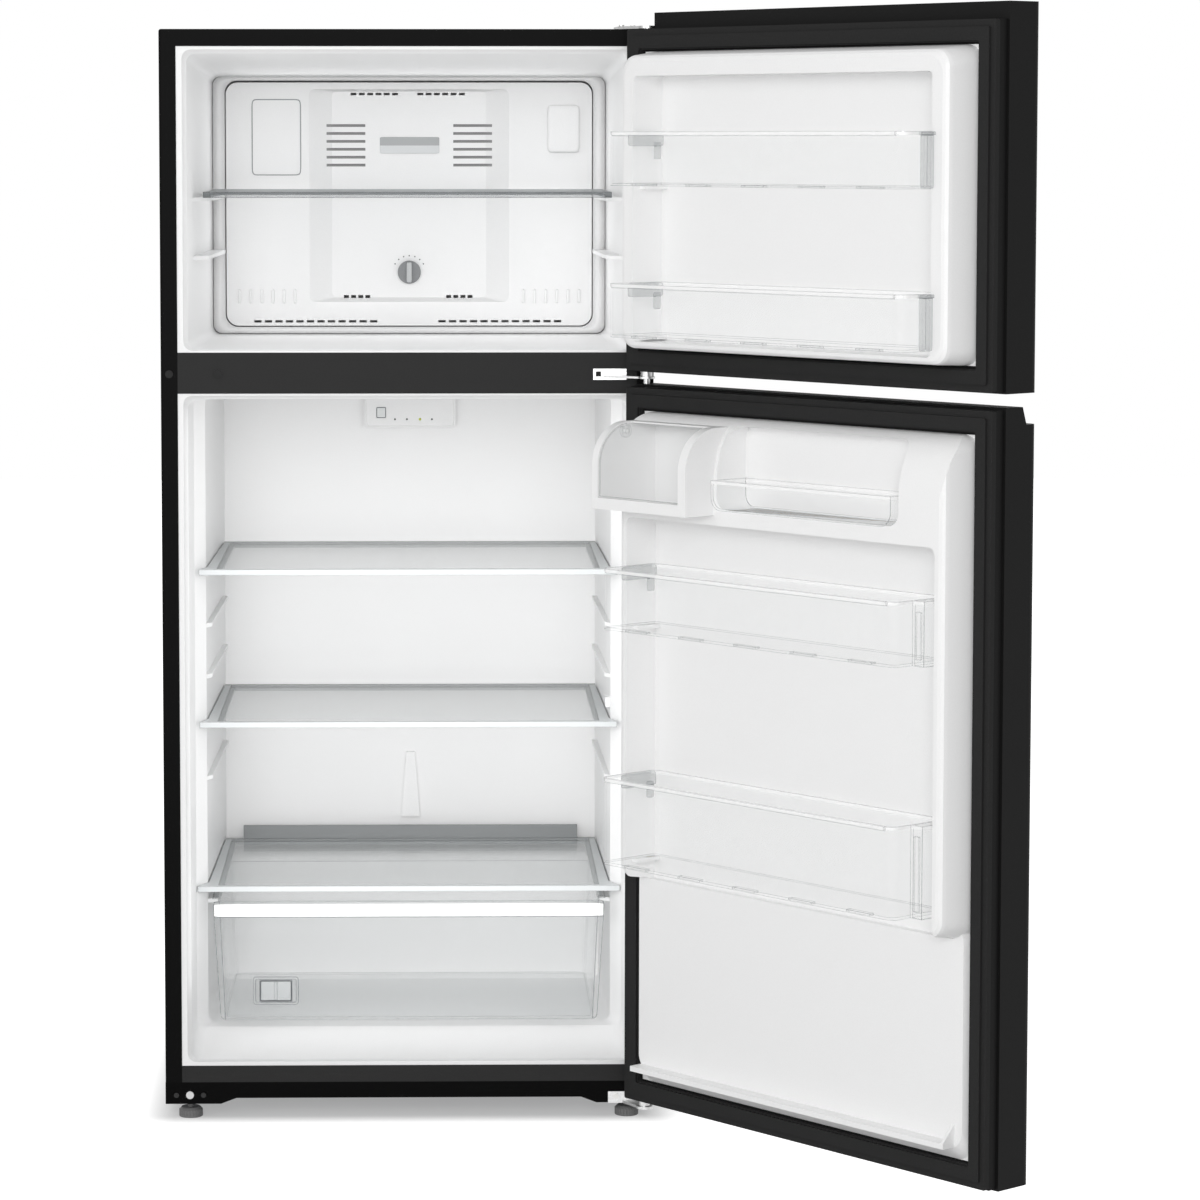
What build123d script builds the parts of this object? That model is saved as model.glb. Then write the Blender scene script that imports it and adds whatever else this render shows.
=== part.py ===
from build123d import *
import math
import os

# A top freezer refrigerator, in millimetres. X runs to the right, Y from the cabinet's front flange to the back,
# Z up from the floor. The doors are drawn closed and then swung open about the hinge line, as the object is stored.

# Cabinet
CABINET_WIDTH = 756
CABINET_TOP = 1686
CABINET_DEPTH = 685
CABINET_BOTTOM = 33
SHEET = 1
FLANGE_WIDTH = 26
MULLION_BOTTOM = 1130
MULLION_TOP = 1193
RAIL_BOTTOM = 58
RAIL_TOP = 84
RAIL_DEPTH = 16
FOAM_BOTTOM = 62
CORNER_RADIUS = 4

# Liners: walls, rounded mouths and the lips behind the front flange
LINER = 2.5
LIP_THICKNESS = 2
MOUTH_DEPTH = 12
MOUTH_FLARE = 6
SILL_FLARE = 1
LINER_RADIUS = 14
FREEZER_HALF_FRONT = 337
FREEZER_HALF_BACK = 323
FREEZER_FLOOR = 1197
CEILING_FOAM = 37
CEILING_DROP = 32
BACK_FOAM = 85
FREEZER_CEILING_FRONT = CABINET_TOP - CEILING_FOAM
FREEZER_CEILING_BACK = FREEZER_CEILING_FRONT - CEILING_DROP
BACK_WALL_Y = CABINET_DEPTH - BACK_FOAM
FRIDGE_HALF_MOUTH = 337.5
FRIDGE_HALF_EARS = 335
FRIDGE_HALF_STEP = 319
FRIDGE_HALF_BACK = 312
STEP_FRONT_Y = 118
STEP_BACK_Y = 150
FRIDGE_SILL = 91
FRIDGE_FLOOR = 120
FRIDGE_CEILING_FRONT = 1121
FRIDGE_CEILING_BACK = 1105
HUMP_LENGTH = 115
HUMP_Y = BACK_WALL_Y - HUMP_LENGTH
HUMP_TOP = 330
HUMP_RADIUS = 18
LEDGE_REACH = 8
FREEZER_LEDGE_REACH = 22
LEDGE_THICKNESS = 6
LEDGE_END_GAP = 55
LEDGE_BACK_Y = BACK_WALL_Y - LEDGE_END_GAP

# Shelves and crisper
SHELF_FRONT_Y = 114
SHELF_AIR_GAP = 36
SHELF_BACK_Y = BACK_WALL_Y - SHELF_AIR_GAP
SHELF_TOPS = (847, 606)
SPARE_LEDGE_TOPS = (757, 676, 514)
SHELF_FRAME = 9
SHELF_EAR_HALF = 328
SHELF_BAR = 10
GLASS = 4
WALL_CLEARANCE = 2
FREEZER_SHELF_TOP = 1437
FREEZER_SHELF_HALF = 318
FREEZER_SHELF_GAP = 15
FREEZER_SPARE_LEDGE = 1337
CRISPER_COVER_TOP = 345
CRISPER_COVER_EAR_HALF = 333
CRISPER_STRIP_HALF = 281
CRISPER_STRIP_HEIGHT = 22
DRAWER_BOTTOM = 133
DRAWER_TOP = 322
DRAWER_FRONT_Y = 106
DRAWER_BACK_GAP = 15
DRAWER_BACK_Y = HUMP_Y - DRAWER_BACK_GAP
DRAWER_HALF_TOP = 301
DRAWER_HALF_BOTTOM = 292
DRAWER_FRONT_HALF_TOP = 309
DRAWER_FRONT_HALF_BOTTOM = 297
DRAWER_WALL = 3
DRAWER_BAND = 25
DRAWER_FLANGE_HALF = 311.5
DRAWER_FLANGE = 4
RUNNER_INNER_HALF = 303.5
SLIDING_GAP = 0.3
HUMIDITY_X = -210
HUMIDITY_Z = 180
HUMIDITY_FRAME_WIDTH = 71
HUMIDITY_FRAME_HEIGHT = 44
HUMIDITY_BORDER = 3.5
HUMIDITY_SLIDE_WIDTH = 52

# Evaporator cover at the back of the freezer
COVER_DEPTH = 83
EVAPORATOR_DEPTH = 60
COVER_FRONT_Y = BACK_WALL_Y - COVER_DEPTH
COVER_WALL = 2.5
COVER_HALF_FRONT = 302
COVER_HALF_BACK = 320
COVER_BOTTOM = 1211
COVER_TOP_GAP = 5
COVER_TOP = FREEZER_CEILING_BACK - COVER_TOP_GAP
DUCT_HALF_BASE = 165
DUCT_HALF_FACE = 127
DUCT_BOTTOM = 1250
DUCT_TOP_GAP = 11
DUCT_TOP = COVER_TOP - DUCT_TOP_GAP
DUCT_RISE = 12
KNOB_Z = 1300
KNOB_RADIUS = 19
KNOB_DEPTH = 16
SHAFT_RADIUS = 4
RUNNING_GAP = 0.05

# Doors
DOOR_HALF = 378
DOOR_OPEN = 130
HINGE_X = 365
HINGE_Y = -38
DOOR_BACK_Y = -28
DOOR_SIDE_Y = -93
DOOR_CROWN_Y = -99
DOOR_CORNER = 12
DOOR_LINER = 2
RIM_HALF = 374
RIM_Y = -12
GASKET_WIDTH = 31
GASKET_HALF = 374
GASKET_FACE_Y = -0.4
GASKET_BASE_Y = -4
BULB_INSET = 10
DYKE_Y = 48
DYKE_BASE_HALF = 341
DYKE_ROUND = 10
DYKE_RADIUS = 25
FREEZER_DOOR_BOTTOM = 1166
DOOR_RISE = 23
FREEZER_DOOR_TOP = CABINET_TOP + DOOR_RISE
FREEZER_GASKET_BOTTOM = 1169
GASKET_TOP_GAP = 2
FREEZER_GASKET_TOP = CABINET_TOP - GASKET_TOP_GAP
FREEZER_RECESS_HALF = 304
FREEZER_RECESS_RADIUS = 8
FREEZER_RECESS_BOTTOM = 1216
FREEZER_TOP_RIDGE = 71
FREEZER_RECESS_TOP = FREEZER_GASKET_TOP - FREEZER_TOP_RIDGE
FRIDGE_DOOR_BOTTOM = 40
FRIDGE_DOOR_TOP = 1147
FRIDGE_GASKET_BOTTOM = 44
FRIDGE_GASKET_TOP = 1143
FRIDGE_RECESS_HALF = 316
FRIDGE_DYKE_BOTTOM = 395
FRIDGE_RECESS_TOP = 952
FRIDGE_ARCH_HEIGHT = 90
LOWER_PANEL_Y = 2
LOWER_PANEL_GAP = 3
LOWER_PANEL_DRAFT = 18
DOOR_LEDGE_Z = 98
DOOR_LEDGE_Y = 26
DOOR_LEDGE_THICKNESS = 8
DOOR_BRACE_HEIGHT = 26
CAP_THICKNESS = 20
CAP_FLOOR = 3
SCOOP_FLOOR = 1122
SCOOP_Y = -70
SCOOP_SLOPE = 8
SCOOP_WEB = 15

# Door storage
BIN_WALL = 3
BIN_FRONT_Y = 106
BIN_BACK_GAP = 2
BIN_SIDE_GAP = 2
BIN_RADIUS = 14
BIN_SUPPORT = 6
BIN_SUPPORT_WIDTH = 12
BIN_SUPPORT_FRONT_Y = 34
BIN_RIM = 3
BIN_BRACKET = 22
BRACKET_BACK_Y = 20
BRACKET_FRONT_Y = 66
BRACKET_SLOT = 9
BIN_SLOTS = 5
BIN_SLOT_FRONT_GAP = 6
BIN_SLOT_DEPTH = 8
FREEZER_BIN_BOTTOMS = (1450, 1225)
FREEZER_BIN_HEIGHT = 80
FRIDGE_BIN_BOTTOMS = (786, 430)
FRIDGE_BIN_HEIGHTS = (92, 132)
DAIRY_INNER_X = 143
DAIRY_OUTER_X = 317
DAIRY_FLOOR = 972
DAIRY_RADIUS = 62
DAIRY_FRONT_Y = 104
DAIRY_DIVIDER = 16
DAIRY_PIVOT_Z = 1094
DAIRY_PIVOT_RADIUS = 3
DAIRY_EYE_RADIUS = 10
DAIRY_COVER_WALL = 2.5
TRAY_RECESS_LEFT = -246
TRAY_RECESS_RIGHT = 121
TRAY_RECESS_BOTTOM = 976
TRAY_RECESS_TOP = 1098
TRAY_RECESS_RADIUS = 20
TRAY_FRONT_Y = 62
TRAY_HEIGHT = 44
TRAY_WALL = 2.5

# Hinges
HINGE_PLATE = 4
PIN_RADIUS = 5
PIN_LENGTH = 34
PIN_END_GAP = 3
ARM_HALF = 13
MIDDLE_ARM_Z = 1155
MIDDLE_ARM = 3
BOTTOM_ARM_Z = 24
SCREW_HEAD_RADIUS = 4
SCREW_HEAD = 2.5

# Base, feet, rollers and machine space
TOE_END_BOTTOM = 24
TOE_END_INNER = 292
TOE_END_SLOPE = 24
TOE_THICKNESS = 3
TOE_DEPTH = 26
FOOT_X = 340
FOOT_Y = 24
FOOT_RADIUS = 18.5
FOOT_HEIGHT = 15
FOOT_RIBS = 24
FOOT_STEM_RADIUS = 5
MACHINE_DEPTH = 165
MACHINE_Y = CABINET_DEPTH - MACHINE_DEPTH
MACHINE_CEILING = 295
PAN_SHEET = 2
ROLLER_RADIUS = 22
ROLLER_WIDTH = 18
ROLLER_SETBACK = 85
ROLLER_Y = CABINET_DEPTH - ROLLER_SETBACK
ROLLER_X = 334
AXLE_RADIUS = 4
CONDENSER_FAN_X = -100
MACHINE_SETBACK = 83
MACHINE_MIDDLE_Y = CABINET_DEPTH - MACHINE_SETBACK
COMPRESSOR_X = 190
COMPRESSOR_SETBACK = 81
COMPRESSOR_Y = CABINET_DEPTH - COMPRESSOR_SETBACK
COMPRESSOR_RADIUS = 72
COMPRESSOR_HEIGHT = 170
TUBE_RADIUS = 4
INLET_X = -320
INLET_Z = 240
INLET_RADIUS = 14
INLET_BORE = 4
FAN_HUB_RADIUS = 16
FAN_RADIUS = 50
FAN_DEPTH = 16
FAN_BLADES = 5

CABINET_HALF = CABINET_WIDTH / 2
OPENING_HALF = CABINET_HALF - FLANGE_WIDTH
INNER_HALF = CABINET_HALF - SHEET
FREEZER_OPENING_TOP = CABINET_TOP - FLANGE_WIDTH
FREEZER_RIM_Z = (FREEZER_GASKET_BOTTOM - 1, FREEZER_GASKET_TOP + 0.5)
FREEZER_RING_Z = (FREEZER_GASKET_BOTTOM + GASKET_WIDTH + 4, FREEZER_GASKET_TOP - GASKET_WIDTH - 3)
FRIDGE_RIM_Z = (FRIDGE_GASKET_BOTTOM - 1, FRIDGE_GASKET_TOP + 1)
FRIDGE_RING_TOP = FRIDGE_GASKET_TOP - GASKET_WIDTH - 4
LOWER_PANEL_BOTTOM = FRIDGE_GASKET_BOTTOM + GASKET_WIDTH + LOWER_PANEL_GAP
DOOR_HINGE = Axis((HINGE_X, HINGE_Y, 0), (0, 0, 1))


def block(x, y, z):
    """Box between the two values given for each of x, y and z."""
    spans = (x, y, z)
    centre = [(low + high) / 2 for low, high in spans]
    return Pos(*centre) * Box(*[high - low for low, high in spans])


def upright(y, x=0, z=0):
    """Plane across the cabinet at depth y, facing the front, with its own y axis upward."""
    return Plane(origin=(x, y, z), x_dir=(1, 0, 0), z_dir=(0, -1, 0))


def rounded_slab(x, y, z, radius):
    """Slab from depth y[0] to y[1] with a rounded rectangle as its front view."""
    outline = RectangleRounded(x[1] - x[0], z[1] - z[0], radius)
    return extrude(upright(y[0], sum(x) / 2, sum(z) / 2) * outline, amount=y[1] - y[0], dir=(0, 1, 0))


def tunnel(sections):
    """Ruled loft through rounded rectangles given as depth, half width, bottom, top and corner radius."""
    faces = []
    for depth, half, bottom, top, radius in sections:
        faces.append(upright(depth, 0, (bottom + top) / 2) * RectangleRounded(2 * half, top - bottom, radius))
    return loft(faces, ruled=True)


def plan(points, z):
    """Prism whose plan is a polygon of X, Y points, between the two values of z."""
    return extrude(Pos(0, 0, z[0]) * Polygon(*points, align=None), amount=z[1] - z[0], dir=(0, 0, 1))


def side_profile(face, x):
    """Prism along X of a face drawn in the Y, Z plane."""
    return extrude(Pos(x[0], 0, 0) * (Plane.YZ * face), amount=x[1] - x[0], dir=(1, 0, 0))


def both_sides(part):
    """A piece of the right-hand side together with its mirror image."""
    return part + mirror(part, Plane.YZ)


def rod(start, end, radius):
    """Round rod between two points."""
    path = Vector(*end) - Vector(*start)
    return extrude(Plane(origin=start, z_dir=path) * Circle(radius), amount=path.length)


def freezer_wall(y):
    """Half width of the freezer between its side walls at depth y."""
    front = SHEET + MOUTH_DEPTH
    share = (y - front) / (BACK_WALL_Y - front)
    return FREEZER_HALF_FRONT + share * (FREEZER_HALF_BACK - FREEZER_HALF_FRONT)


def fridge_wall(y):
    """Half width of the fridge space at depth y, behind the step in its walls."""
    share = (y - STEP_BACK_Y) / (BACK_WALL_Y - STEP_BACK_Y)
    return FRIDGE_HALF_STEP + share * (FRIDGE_HALF_BACK - FRIDGE_HALF_STEP)


def freezer_space(grow):
    """The freezer's hollow, grown by the liner's thickness for the outside of the liner."""
    radius = LINER_RADIUS + grow
    mouth_bottom = FREEZER_FLOOR - SILL_FLARE - grow
    mouth_top = FREEZER_CEILING_FRONT + MOUTH_FLARE + grow
    back = (BACK_WALL_Y + grow, FREEZER_HALF_BACK + grow)
    return tunnel([
        (SHEET, FREEZER_HALF_FRONT + MOUTH_FLARE + grow, mouth_bottom, mouth_top, radius),
        (SHEET + MOUTH_DEPTH, FREEZER_HALF_FRONT + grow, FREEZER_FLOOR - grow, FREEZER_CEILING_FRONT + grow, radius),
        (*back, FREEZER_FLOOR - grow, FREEZER_CEILING_BACK + grow, radius),
    ])


def fridge_space(grow):
    """The fridge's hollow with its stepped walls and the hump over the machine space."""
    radius = LINER_RADIUS + grow
    floor = FRIDGE_FLOOR - grow
    ceiling = FRIDGE_CEILING_FRONT + grow
    mouth_half = FRIDGE_HALF_MOUTH + MOUTH_FLARE + grow
    hollow = tunnel([
        (SHEET, mouth_half, FRIDGE_SILL - SILL_FLARE - grow, ceiling + MOUTH_FLARE, radius),
        (SHEET + MOUTH_DEPTH, FRIDGE_HALF_MOUTH + grow, FRIDGE_SILL - grow, ceiling, radius),
        (STEP_FRONT_Y, FRIDGE_HALF_EARS + grow, floor, ceiling, radius),
        (STEP_BACK_Y, FRIDGE_HALF_STEP + grow, floor, ceiling, radius),
        (BACK_WALL_Y + grow, FRIDGE_HALF_BACK + grow, floor, FRIDGE_CEILING_BACK + grow, radius),
    ])
    hump = block((-CABINET_HALF, CABINET_HALF), (HUMP_Y + grow, CABINET_DEPTH), (0, HUMP_TOP - grow))
    edge = hump.edges().filter_by(Axis.X).sort_by(lambda e: e.center().Z - e.center().Y)[-1]
    return hollow - fillet(edge, HUMP_RADIUS)


def ledges(wall, front, back, z_top, reach=LEDGE_REACH):
    """Pair of shelf ledges on the side walls, with slanted front ends."""
    near = wall(front)
    far = wall(back)
    root = LINER / 2
    points = [
        (near + root, front),
        (far + root, back),
        (far - reach, back),
        (wall(front + 2 * reach) - reach, front + 2 * reach),
        (near, front),
    ]
    return both_sides(plan(points, (z_top - LEDGE_THICKNESS, z_top)))


def lip(bottom, top):
    """Block of the liner's flat lip, which lies behind the front flange and fills the opening."""
    return block((-OPENING_HALF, OPENING_HALF), (SHEET, SHEET + LIP_THICKNESS), (bottom, top))


def cabinet_wrapper():
    """Painted sheet: top, two sides and the folded front flange."""
    shell = block((-CABINET_HALF, CABINET_HALF), (0, CABINET_DEPTH), (CABINET_BOTTOM, CABINET_TOP))
    front_edges = shell.edges().filter_by_position(Axis.Y, -0.1, 0.1).filter_by(Axis.Z)
    top_edges = shell.edges().filter_by(Axis.Y).group_by(Axis.Z)[-1]
    shell = fillet(front_edges + top_edges, CORNER_RADIUS)
    inside = block((-INNER_HALF, INNER_HALF), (SHEET, CABINET_DEPTH), (CABINET_BOTTOM, CABINET_TOP - SHEET))
    inner_edges = inside.edges().filter_by_position(Axis.Y, SHEET - 0.1, SHEET + 0.1).filter_by(Axis.Z)
    inner_edges += inside.edges().filter_by(Axis.Y).group_by(Axis.Z)[-1]
    inside = fillet(inner_edges, CORNER_RADIUS - SHEET)
    opening = block((-OPENING_HALF, OPENING_HALF), (0, SHEET), (CABINET_BOTTOM, FREEZER_OPENING_TOP))
    toe_room = block((-CABINET_HALF, CABINET_HALF), (0, TOE_DEPTH), (CABINET_BOTTOM, RAIL_BOTTOM))
    return shell - inside - opening - toe_room


def rear_panel():
    """Sheet over the back of the foam, above the machine space."""
    span_y = (CABINET_DEPTH - SHEET, CABINET_DEPTH)
    return block((-INNER_HALF, INNER_HALF), span_y, (MACHINE_CEILING, CABINET_TOP - CORNER_RADIUS))


def cross_rail(bottom, top):
    """Rail across the cabinet front between the side flanges."""
    return block((-OPENING_HALF, OPENING_HALF), (0, RAIL_DEPTH), (bottom, top))


def cabinet_foam():
    """Foam between the wrapper and the liners, with the machine space cut out of its lower back."""
    inner = CORNER_RADIUS - SHEET
    foam = block((-INNER_HALF, INNER_HALF), (SHEET, CABINET_DEPTH - SHEET), (FOAM_BOTTOM, CABINET_TOP - SHEET))
    corners = foam.edges().filter_by_position(Axis.Y, SHEET - 0.1, SHEET + 0.1).filter_by(Axis.Z)
    foam = fillet(corners + foam.edges().filter_by(Axis.Y).group_by(Axis.Z)[-1], inner)
    foam -= freezer_space(LINER) + lip(MULLION_TOP, FREEZER_OPENING_TOP)
    foam -= fridge_space(LINER) + lip(RAIL_TOP, MULLION_BOTTOM)
    foam -= cross_rail(MULLION_BOTTOM, MULLION_TOP)
    foam -= cross_rail(RAIL_BOTTOM, RAIL_TOP)
    machine = block((-INNER_HALF, INNER_HALF), (MACHINE_Y, CABINET_DEPTH), (FOAM_BOTTOM, MACHINE_CEILING))
    return foam - machine


def freezer_liner():
    """White formed liner of the freezer with two levels of shelf ledges."""
    shell = freezer_space(LINER) + lip(MULLION_TOP, FREEZER_OPENING_TOP) - freezer_space(0)
    for top in (FREEZER_SHELF_TOP - SHELF_FRAME, FREEZER_SPARE_LEDGE):
        shell += ledges(freezer_wall, STEP_FRONT_Y, COVER_FRONT_Y - 5, top, FREEZER_LEDGE_REACH)
    return shell


def fridge_liner():
    """White formed liner of the fridge with shelf ledges, drawer runners, a drain ridge and a small wall block."""
    shell = fridge_space(LINER) + lip(RAIL_TOP, MULLION_BOTTOM) - fridge_space(0)
    tops = [top - SHELF_FRAME for top in (*SHELF_TOPS, CRISPER_COVER_TOP)]
    for top in (*tops, *SPARE_LEDGE_TOPS):
        shell += ledges(fridge_wall, STEP_BACK_Y + 4, LEDGE_BACK_Y, top)
    runner_top = DRAWER_TOP - DRAWER_FLANGE - SLIDING_GAP
    front, back = STEP_BACK_Y + 4, HUMP_Y + LINER / 2
    runner = [
        (fridge_wall(front) + LINER / 2, front),
        (fridge_wall(back) + LINER / 2, back),
        (RUNNER_INNER_HALF, back),
        (RUNNER_INNER_HALF, front + LEDGE_REACH),
    ]
    shell += both_sides(plan(runner, (runner_top - LEDGE_THICKNESS, runner_top)))
    ridge_bottom, ridge_top = CRISPER_COVER_TOP + CRISPER_STRIP_HEIGHT + 9, 486
    ridge = Polygon((-16, ridge_bottom), (16, ridge_bottom), (7, ridge_top), (-7, ridge_top), align=None)
    shell += extrude(upright(BACK_WALL_Y) * ridge, amount=8, dir=(0, -1, 0))
    front, back = STEP_BACK_Y + 12, STEP_BACK_Y + 34
    near, far = fridge_wall(front), fridge_wall(back)
    root = LINER / 2
    return shell + plan([(near + root, front), (far + root, back), (far - 7, back), (near - 7, front)], (622, 637))


def shelf_frame(top, plan_points, glass_half, glass_y):
    """Shelf frame with a rebate for its glass and an open middle."""
    lip_width = 7
    frame = plan(plan_points, (top - SHELF_FRAME, top))
    frame -= block((-glass_half, glass_half), glass_y, (top - GLASS, top))
    inner_y = (glass_y[0] + lip_width, glass_y[1] - lip_width)
    inner_half = glass_half - lip_width
    return frame - block((-inner_half, inner_half), inner_y, (top - SHELF_FRAME, top))


def shelf_glass(top, glass_half, glass_y):
    """Glass plate that lies in the frame's rebate."""
    gap = SLIDING_GAP
    half = glass_half - gap
    return block((-half, half), (glass_y[0] + gap, glass_y[1] - gap), (top - GLASS, top))


def fridge_shelf_plan(ear_half):
    """Half of a fridge shelf's plan mirrored: front bar with ears, sides that follow the walls."""
    front = STEP_BACK_Y + 2
    side_front = fridge_wall(front) - WALL_CLEARANCE
    side_back = fridge_wall(SHELF_BACK_Y) - WALL_CLEARANCE
    ear_back = STEP_FRONT_Y
    right = [
        (ear_half, SHELF_FRONT_Y),
        (ear_half, ear_back),
        (side_front, front),
        (side_back, SHELF_BACK_Y),
    ]
    return right + [(-x, y) for x, y in reversed(right)]


def fridge_shelf_glass_span():
    """Half width and depth span of the glass in a fridge shelf or the crisper cover."""
    half = fridge_wall(SHELF_BACK_Y) - WALL_CLEARANCE - SHELF_BAR
    return half, (SHELF_FRONT_Y + SHELF_BAR, SHELF_BACK_Y - SHELF_BAR)


def crisper_cover_frame():
    """Cover over the drawer: a shelf frame with an upright strip along its back edge."""
    frame = shelf_frame(CRISPER_COVER_TOP, fridge_shelf_plan(CRISPER_COVER_EAR_HALF), *fridge_shelf_glass_span())
    strip_y = (SHELF_BACK_Y - SHELF_BAR + 2, SHELF_BACK_Y)
    strip_z = (CRISPER_COVER_TOP, CRISPER_COVER_TOP + CRISPER_STRIP_HEIGHT)
    return frame + block((-CRISPER_STRIP_HALF, CRISPER_STRIP_HALF), strip_y, strip_z)


def freezer_shelf():
    """Moulded clear freezer shelf: a thin plate with a deeper rim on all sides."""
    half = FREEZER_SHELF_HALF
    span_y = (SHELF_FRONT_Y, COVER_FRONT_Y - FREEZER_SHELF_GAP)
    shelf = block((-half, half), span_y, (FREEZER_SHELF_TOP - SHELF_FRAME, FREEZER_SHELF_TOP))
    inner = half - SHELF_BAR
    inner_y = (span_y[0] + SHELF_BAR, span_y[1] - SHELF_BAR)
    return shelf - block((-inner, inner), inner_y, (FREEZER_SHELF_TOP - SHELF_FRAME, FREEZER_SHELF_TOP - GLASS))


def drawer_front(y):
    """Front plate of the drawer, wider at the top, between two depths."""
    outline = Polygon(
        (-DRAWER_FRONT_HALF_BOTTOM, DRAWER_BOTTOM),
        (DRAWER_FRONT_HALF_BOTTOM, DRAWER_BOTTOM),
        (DRAWER_FRONT_HALF_TOP, DRAWER_TOP),
        (-DRAWER_FRONT_HALF_TOP, DRAWER_TOP),
        align=None,
    )
    plate = extrude(upright(y[0]) * outline, amount=y[1] - y[0], dir=(0, 1, 0))
    return fillet(plate.edges().filter_by(Axis.Y), 8)


def crisper_drawer():
    """Clear tapered tub with a wide front plate, a pull band and side flanges."""
    wall = DRAWER_WALL
    tub_y = (DRAWER_FRONT_Y + wall, DRAWER_BACK_Y)

    def taper(inset, bottom):
        half_low = DRAWER_HALF_BOTTOM - inset
        half_high = DRAWER_HALF_TOP - inset
        depth = (tub_y[0] + inset, tub_y[1] - inset)
        low = Pos(0, sum(depth) / 2 - 6, bottom) * RectangleRounded(2 * half_low, depth[1] - depth[0] - 12, 10)
        high = Pos(0, sum(depth) / 2, DRAWER_TOP) * RectangleRounded(2 * half_high, depth[1] - depth[0], 10)
        return loft([low, high], ruled=True)

    drawer = taper(0, DRAWER_BOTTOM) + drawer_front((DRAWER_FRONT_Y, DRAWER_FRONT_Y + 2 * wall))
    flange_y = (STEP_BACK_Y, DRAWER_BACK_Y - 12)
    drawer += block((-DRAWER_FLANGE_HALF, DRAWER_FLANGE_HALF), flange_y, (DRAWER_TOP - DRAWER_FLANGE, DRAWER_TOP))
    drawer -= taper(wall, DRAWER_BOTTOM + wall)
    band_z = (DRAWER_TOP - DRAWER_BAND, DRAWER_TOP)
    band_half = DRAWER_FRONT_HALF_TOP - 2
    drawer += block((-band_half, band_half), (DRAWER_FRONT_Y - wall, DRAWER_FRONT_Y), band_z)
    width, height, border = HUMIDITY_FRAME_WIDTH, HUMIDITY_FRAME_HEIGHT, HUMIDITY_BORDER
    ring = RectangleRounded(width, height, 5) - RectangleRounded(width - 2 * border, height - 2 * border, 3)
    drawer += extrude(upright(DRAWER_FRONT_Y, HUMIDITY_X, HUMIDITY_Z) * ring, amount=wall)
    return drawer


def humidity_slider():
    """Flat plate with a grip rib that slides sideways inside the frame on the drawer front."""
    height = HUMIDITY_FRAME_HEIGHT - 2 * HUMIDITY_BORDER - 2 * SLIDING_GAP
    face_y = DRAWER_FRONT_Y - SLIDING_GAP
    where = upright(face_y, HUMIDITY_X, HUMIDITY_Z)
    plate = extrude(where * RectangleRounded(HUMIDITY_SLIDE_WIDTH, height, 2), amount=2)
    rib = extrude(where * Rectangle(4, height - 8), amount=4)
    return plate + rib


def vent_slots(x, z, count, height, depth=30):
    """Row of vent dashes between two values of x at height z, through the evaporator cover."""
    pitch = (x[1] - x[0]) / count
    dash = 0.7 * pitch
    slots = []
    for index in range(count):
        start = x[0] + index * pitch
        slots.append(block((start, start + dash), (COVER_FRONT_Y - depth, COVER_FRONT_Y + depth), (z, z + height)))
    return slots


def evaporator_cover():
    """White cover over the evaporator: flared tray, raised centre duct, vents, louvres and the knob's hole."""
    back_top = FREEZER_CEILING_BACK - 2
    back_bottom = FREEZER_FLOOR + 2
    wall = COVER_WALL

    def tray(inset):
        return tunnel([
            (COVER_FRONT_Y + inset, COVER_HALF_FRONT - inset, COVER_BOTTOM + inset, COVER_TOP - inset, 20 - inset),
            (BACK_WALL_Y, COVER_HALF_BACK - inset, back_bottom + inset, back_top - inset, 20 - inset),
        ])

    def duct(inset):
        face_y = COVER_FRONT_Y - DUCT_RISE + inset
        return tunnel([
            (COVER_FRONT_Y + inset, DUCT_HALF_BASE - inset, DUCT_BOTTOM + inset, DUCT_TOP - inset, 10),
            (face_y, DUCT_HALF_FACE - inset, DUCT_BOTTOM + 8 + inset, DUCT_TOP - 4 - inset, 8),
        ])

    cover = tray(0) + duct(0) - tray(wall) - duct(wall)
    cuts = []
    for x in ((-96, -14), (14, 96)):
        cuts += vent_slots(x, DUCT_TOP - 10, 6, 4)
    for row in range(6):
        for x in ((-136, -72), (73, 137)):
            cuts.append(block(x, (COVER_FRONT_Y - 30, COVER_FRONT_Y + 30), (1474 + 13 * row, 1478.5 + 13 * row)))
    for x in ((-108, -61), (61, 108)):
        cuts += vent_slots(x, DUCT_BOTTOM + 7, 4, 5)
    for x in ((-257, -48), (48, 257)):
        cuts += vent_slots(x, COVER_BOTTOM + 5, 12, 4)
    for cut in cuts:
        cover -= cut
    knob_hole = rod((0, COVER_FRONT_Y - 30, KNOB_Z), (0, COVER_FRONT_Y + 10, KNOB_Z), SHAFT_RADIUS + 1)
    return cover - knob_hole


def knob_face_y():
    """Front of the duct where the knob sits."""
    return COVER_FRONT_Y - DUCT_RISE


def temperature_knob():
    """Round knob with a raised finger bar and the shaft that turns the damper."""
    back = knob_face_y() - SLIDING_GAP
    centre = (0, back, KNOB_Z)
    knob = rod(centre, (0, back - KNOB_DEPTH / 2, KNOB_Z), KNOB_RADIUS)
    bar = block((-4.5, 4.5), (back - KNOB_DEPTH, back), (KNOB_Z - KNOB_RADIUS + 1.5, KNOB_Z + KNOB_RADIUS - 1.5))
    shaft = rod(centre, (0, COVER_FRONT_Y + 28, KNOB_Z), SHAFT_RADIUS)
    return knob + bar + shaft


def damper_housing():
    """Air damper box behind the cover, with the bearing bore of the knob's shaft."""
    front = COVER_FRONT_Y + COVER_WALL
    box = block((-45, 45), (front, front + 45), (KNOB_Z - 38, KNOB_Z + 38))
    bore = rod((0, front, KNOB_Z), (0, front + 30, KNOB_Z), SHAFT_RADIUS + RUNNING_GAP)
    duct_clear = block((-DUCT_HALF_BASE, DUCT_HALF_BASE), (front - 1, front), (KNOB_Z - 60, KNOB_Z + 60))
    return box - bore - duct_clear


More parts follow.
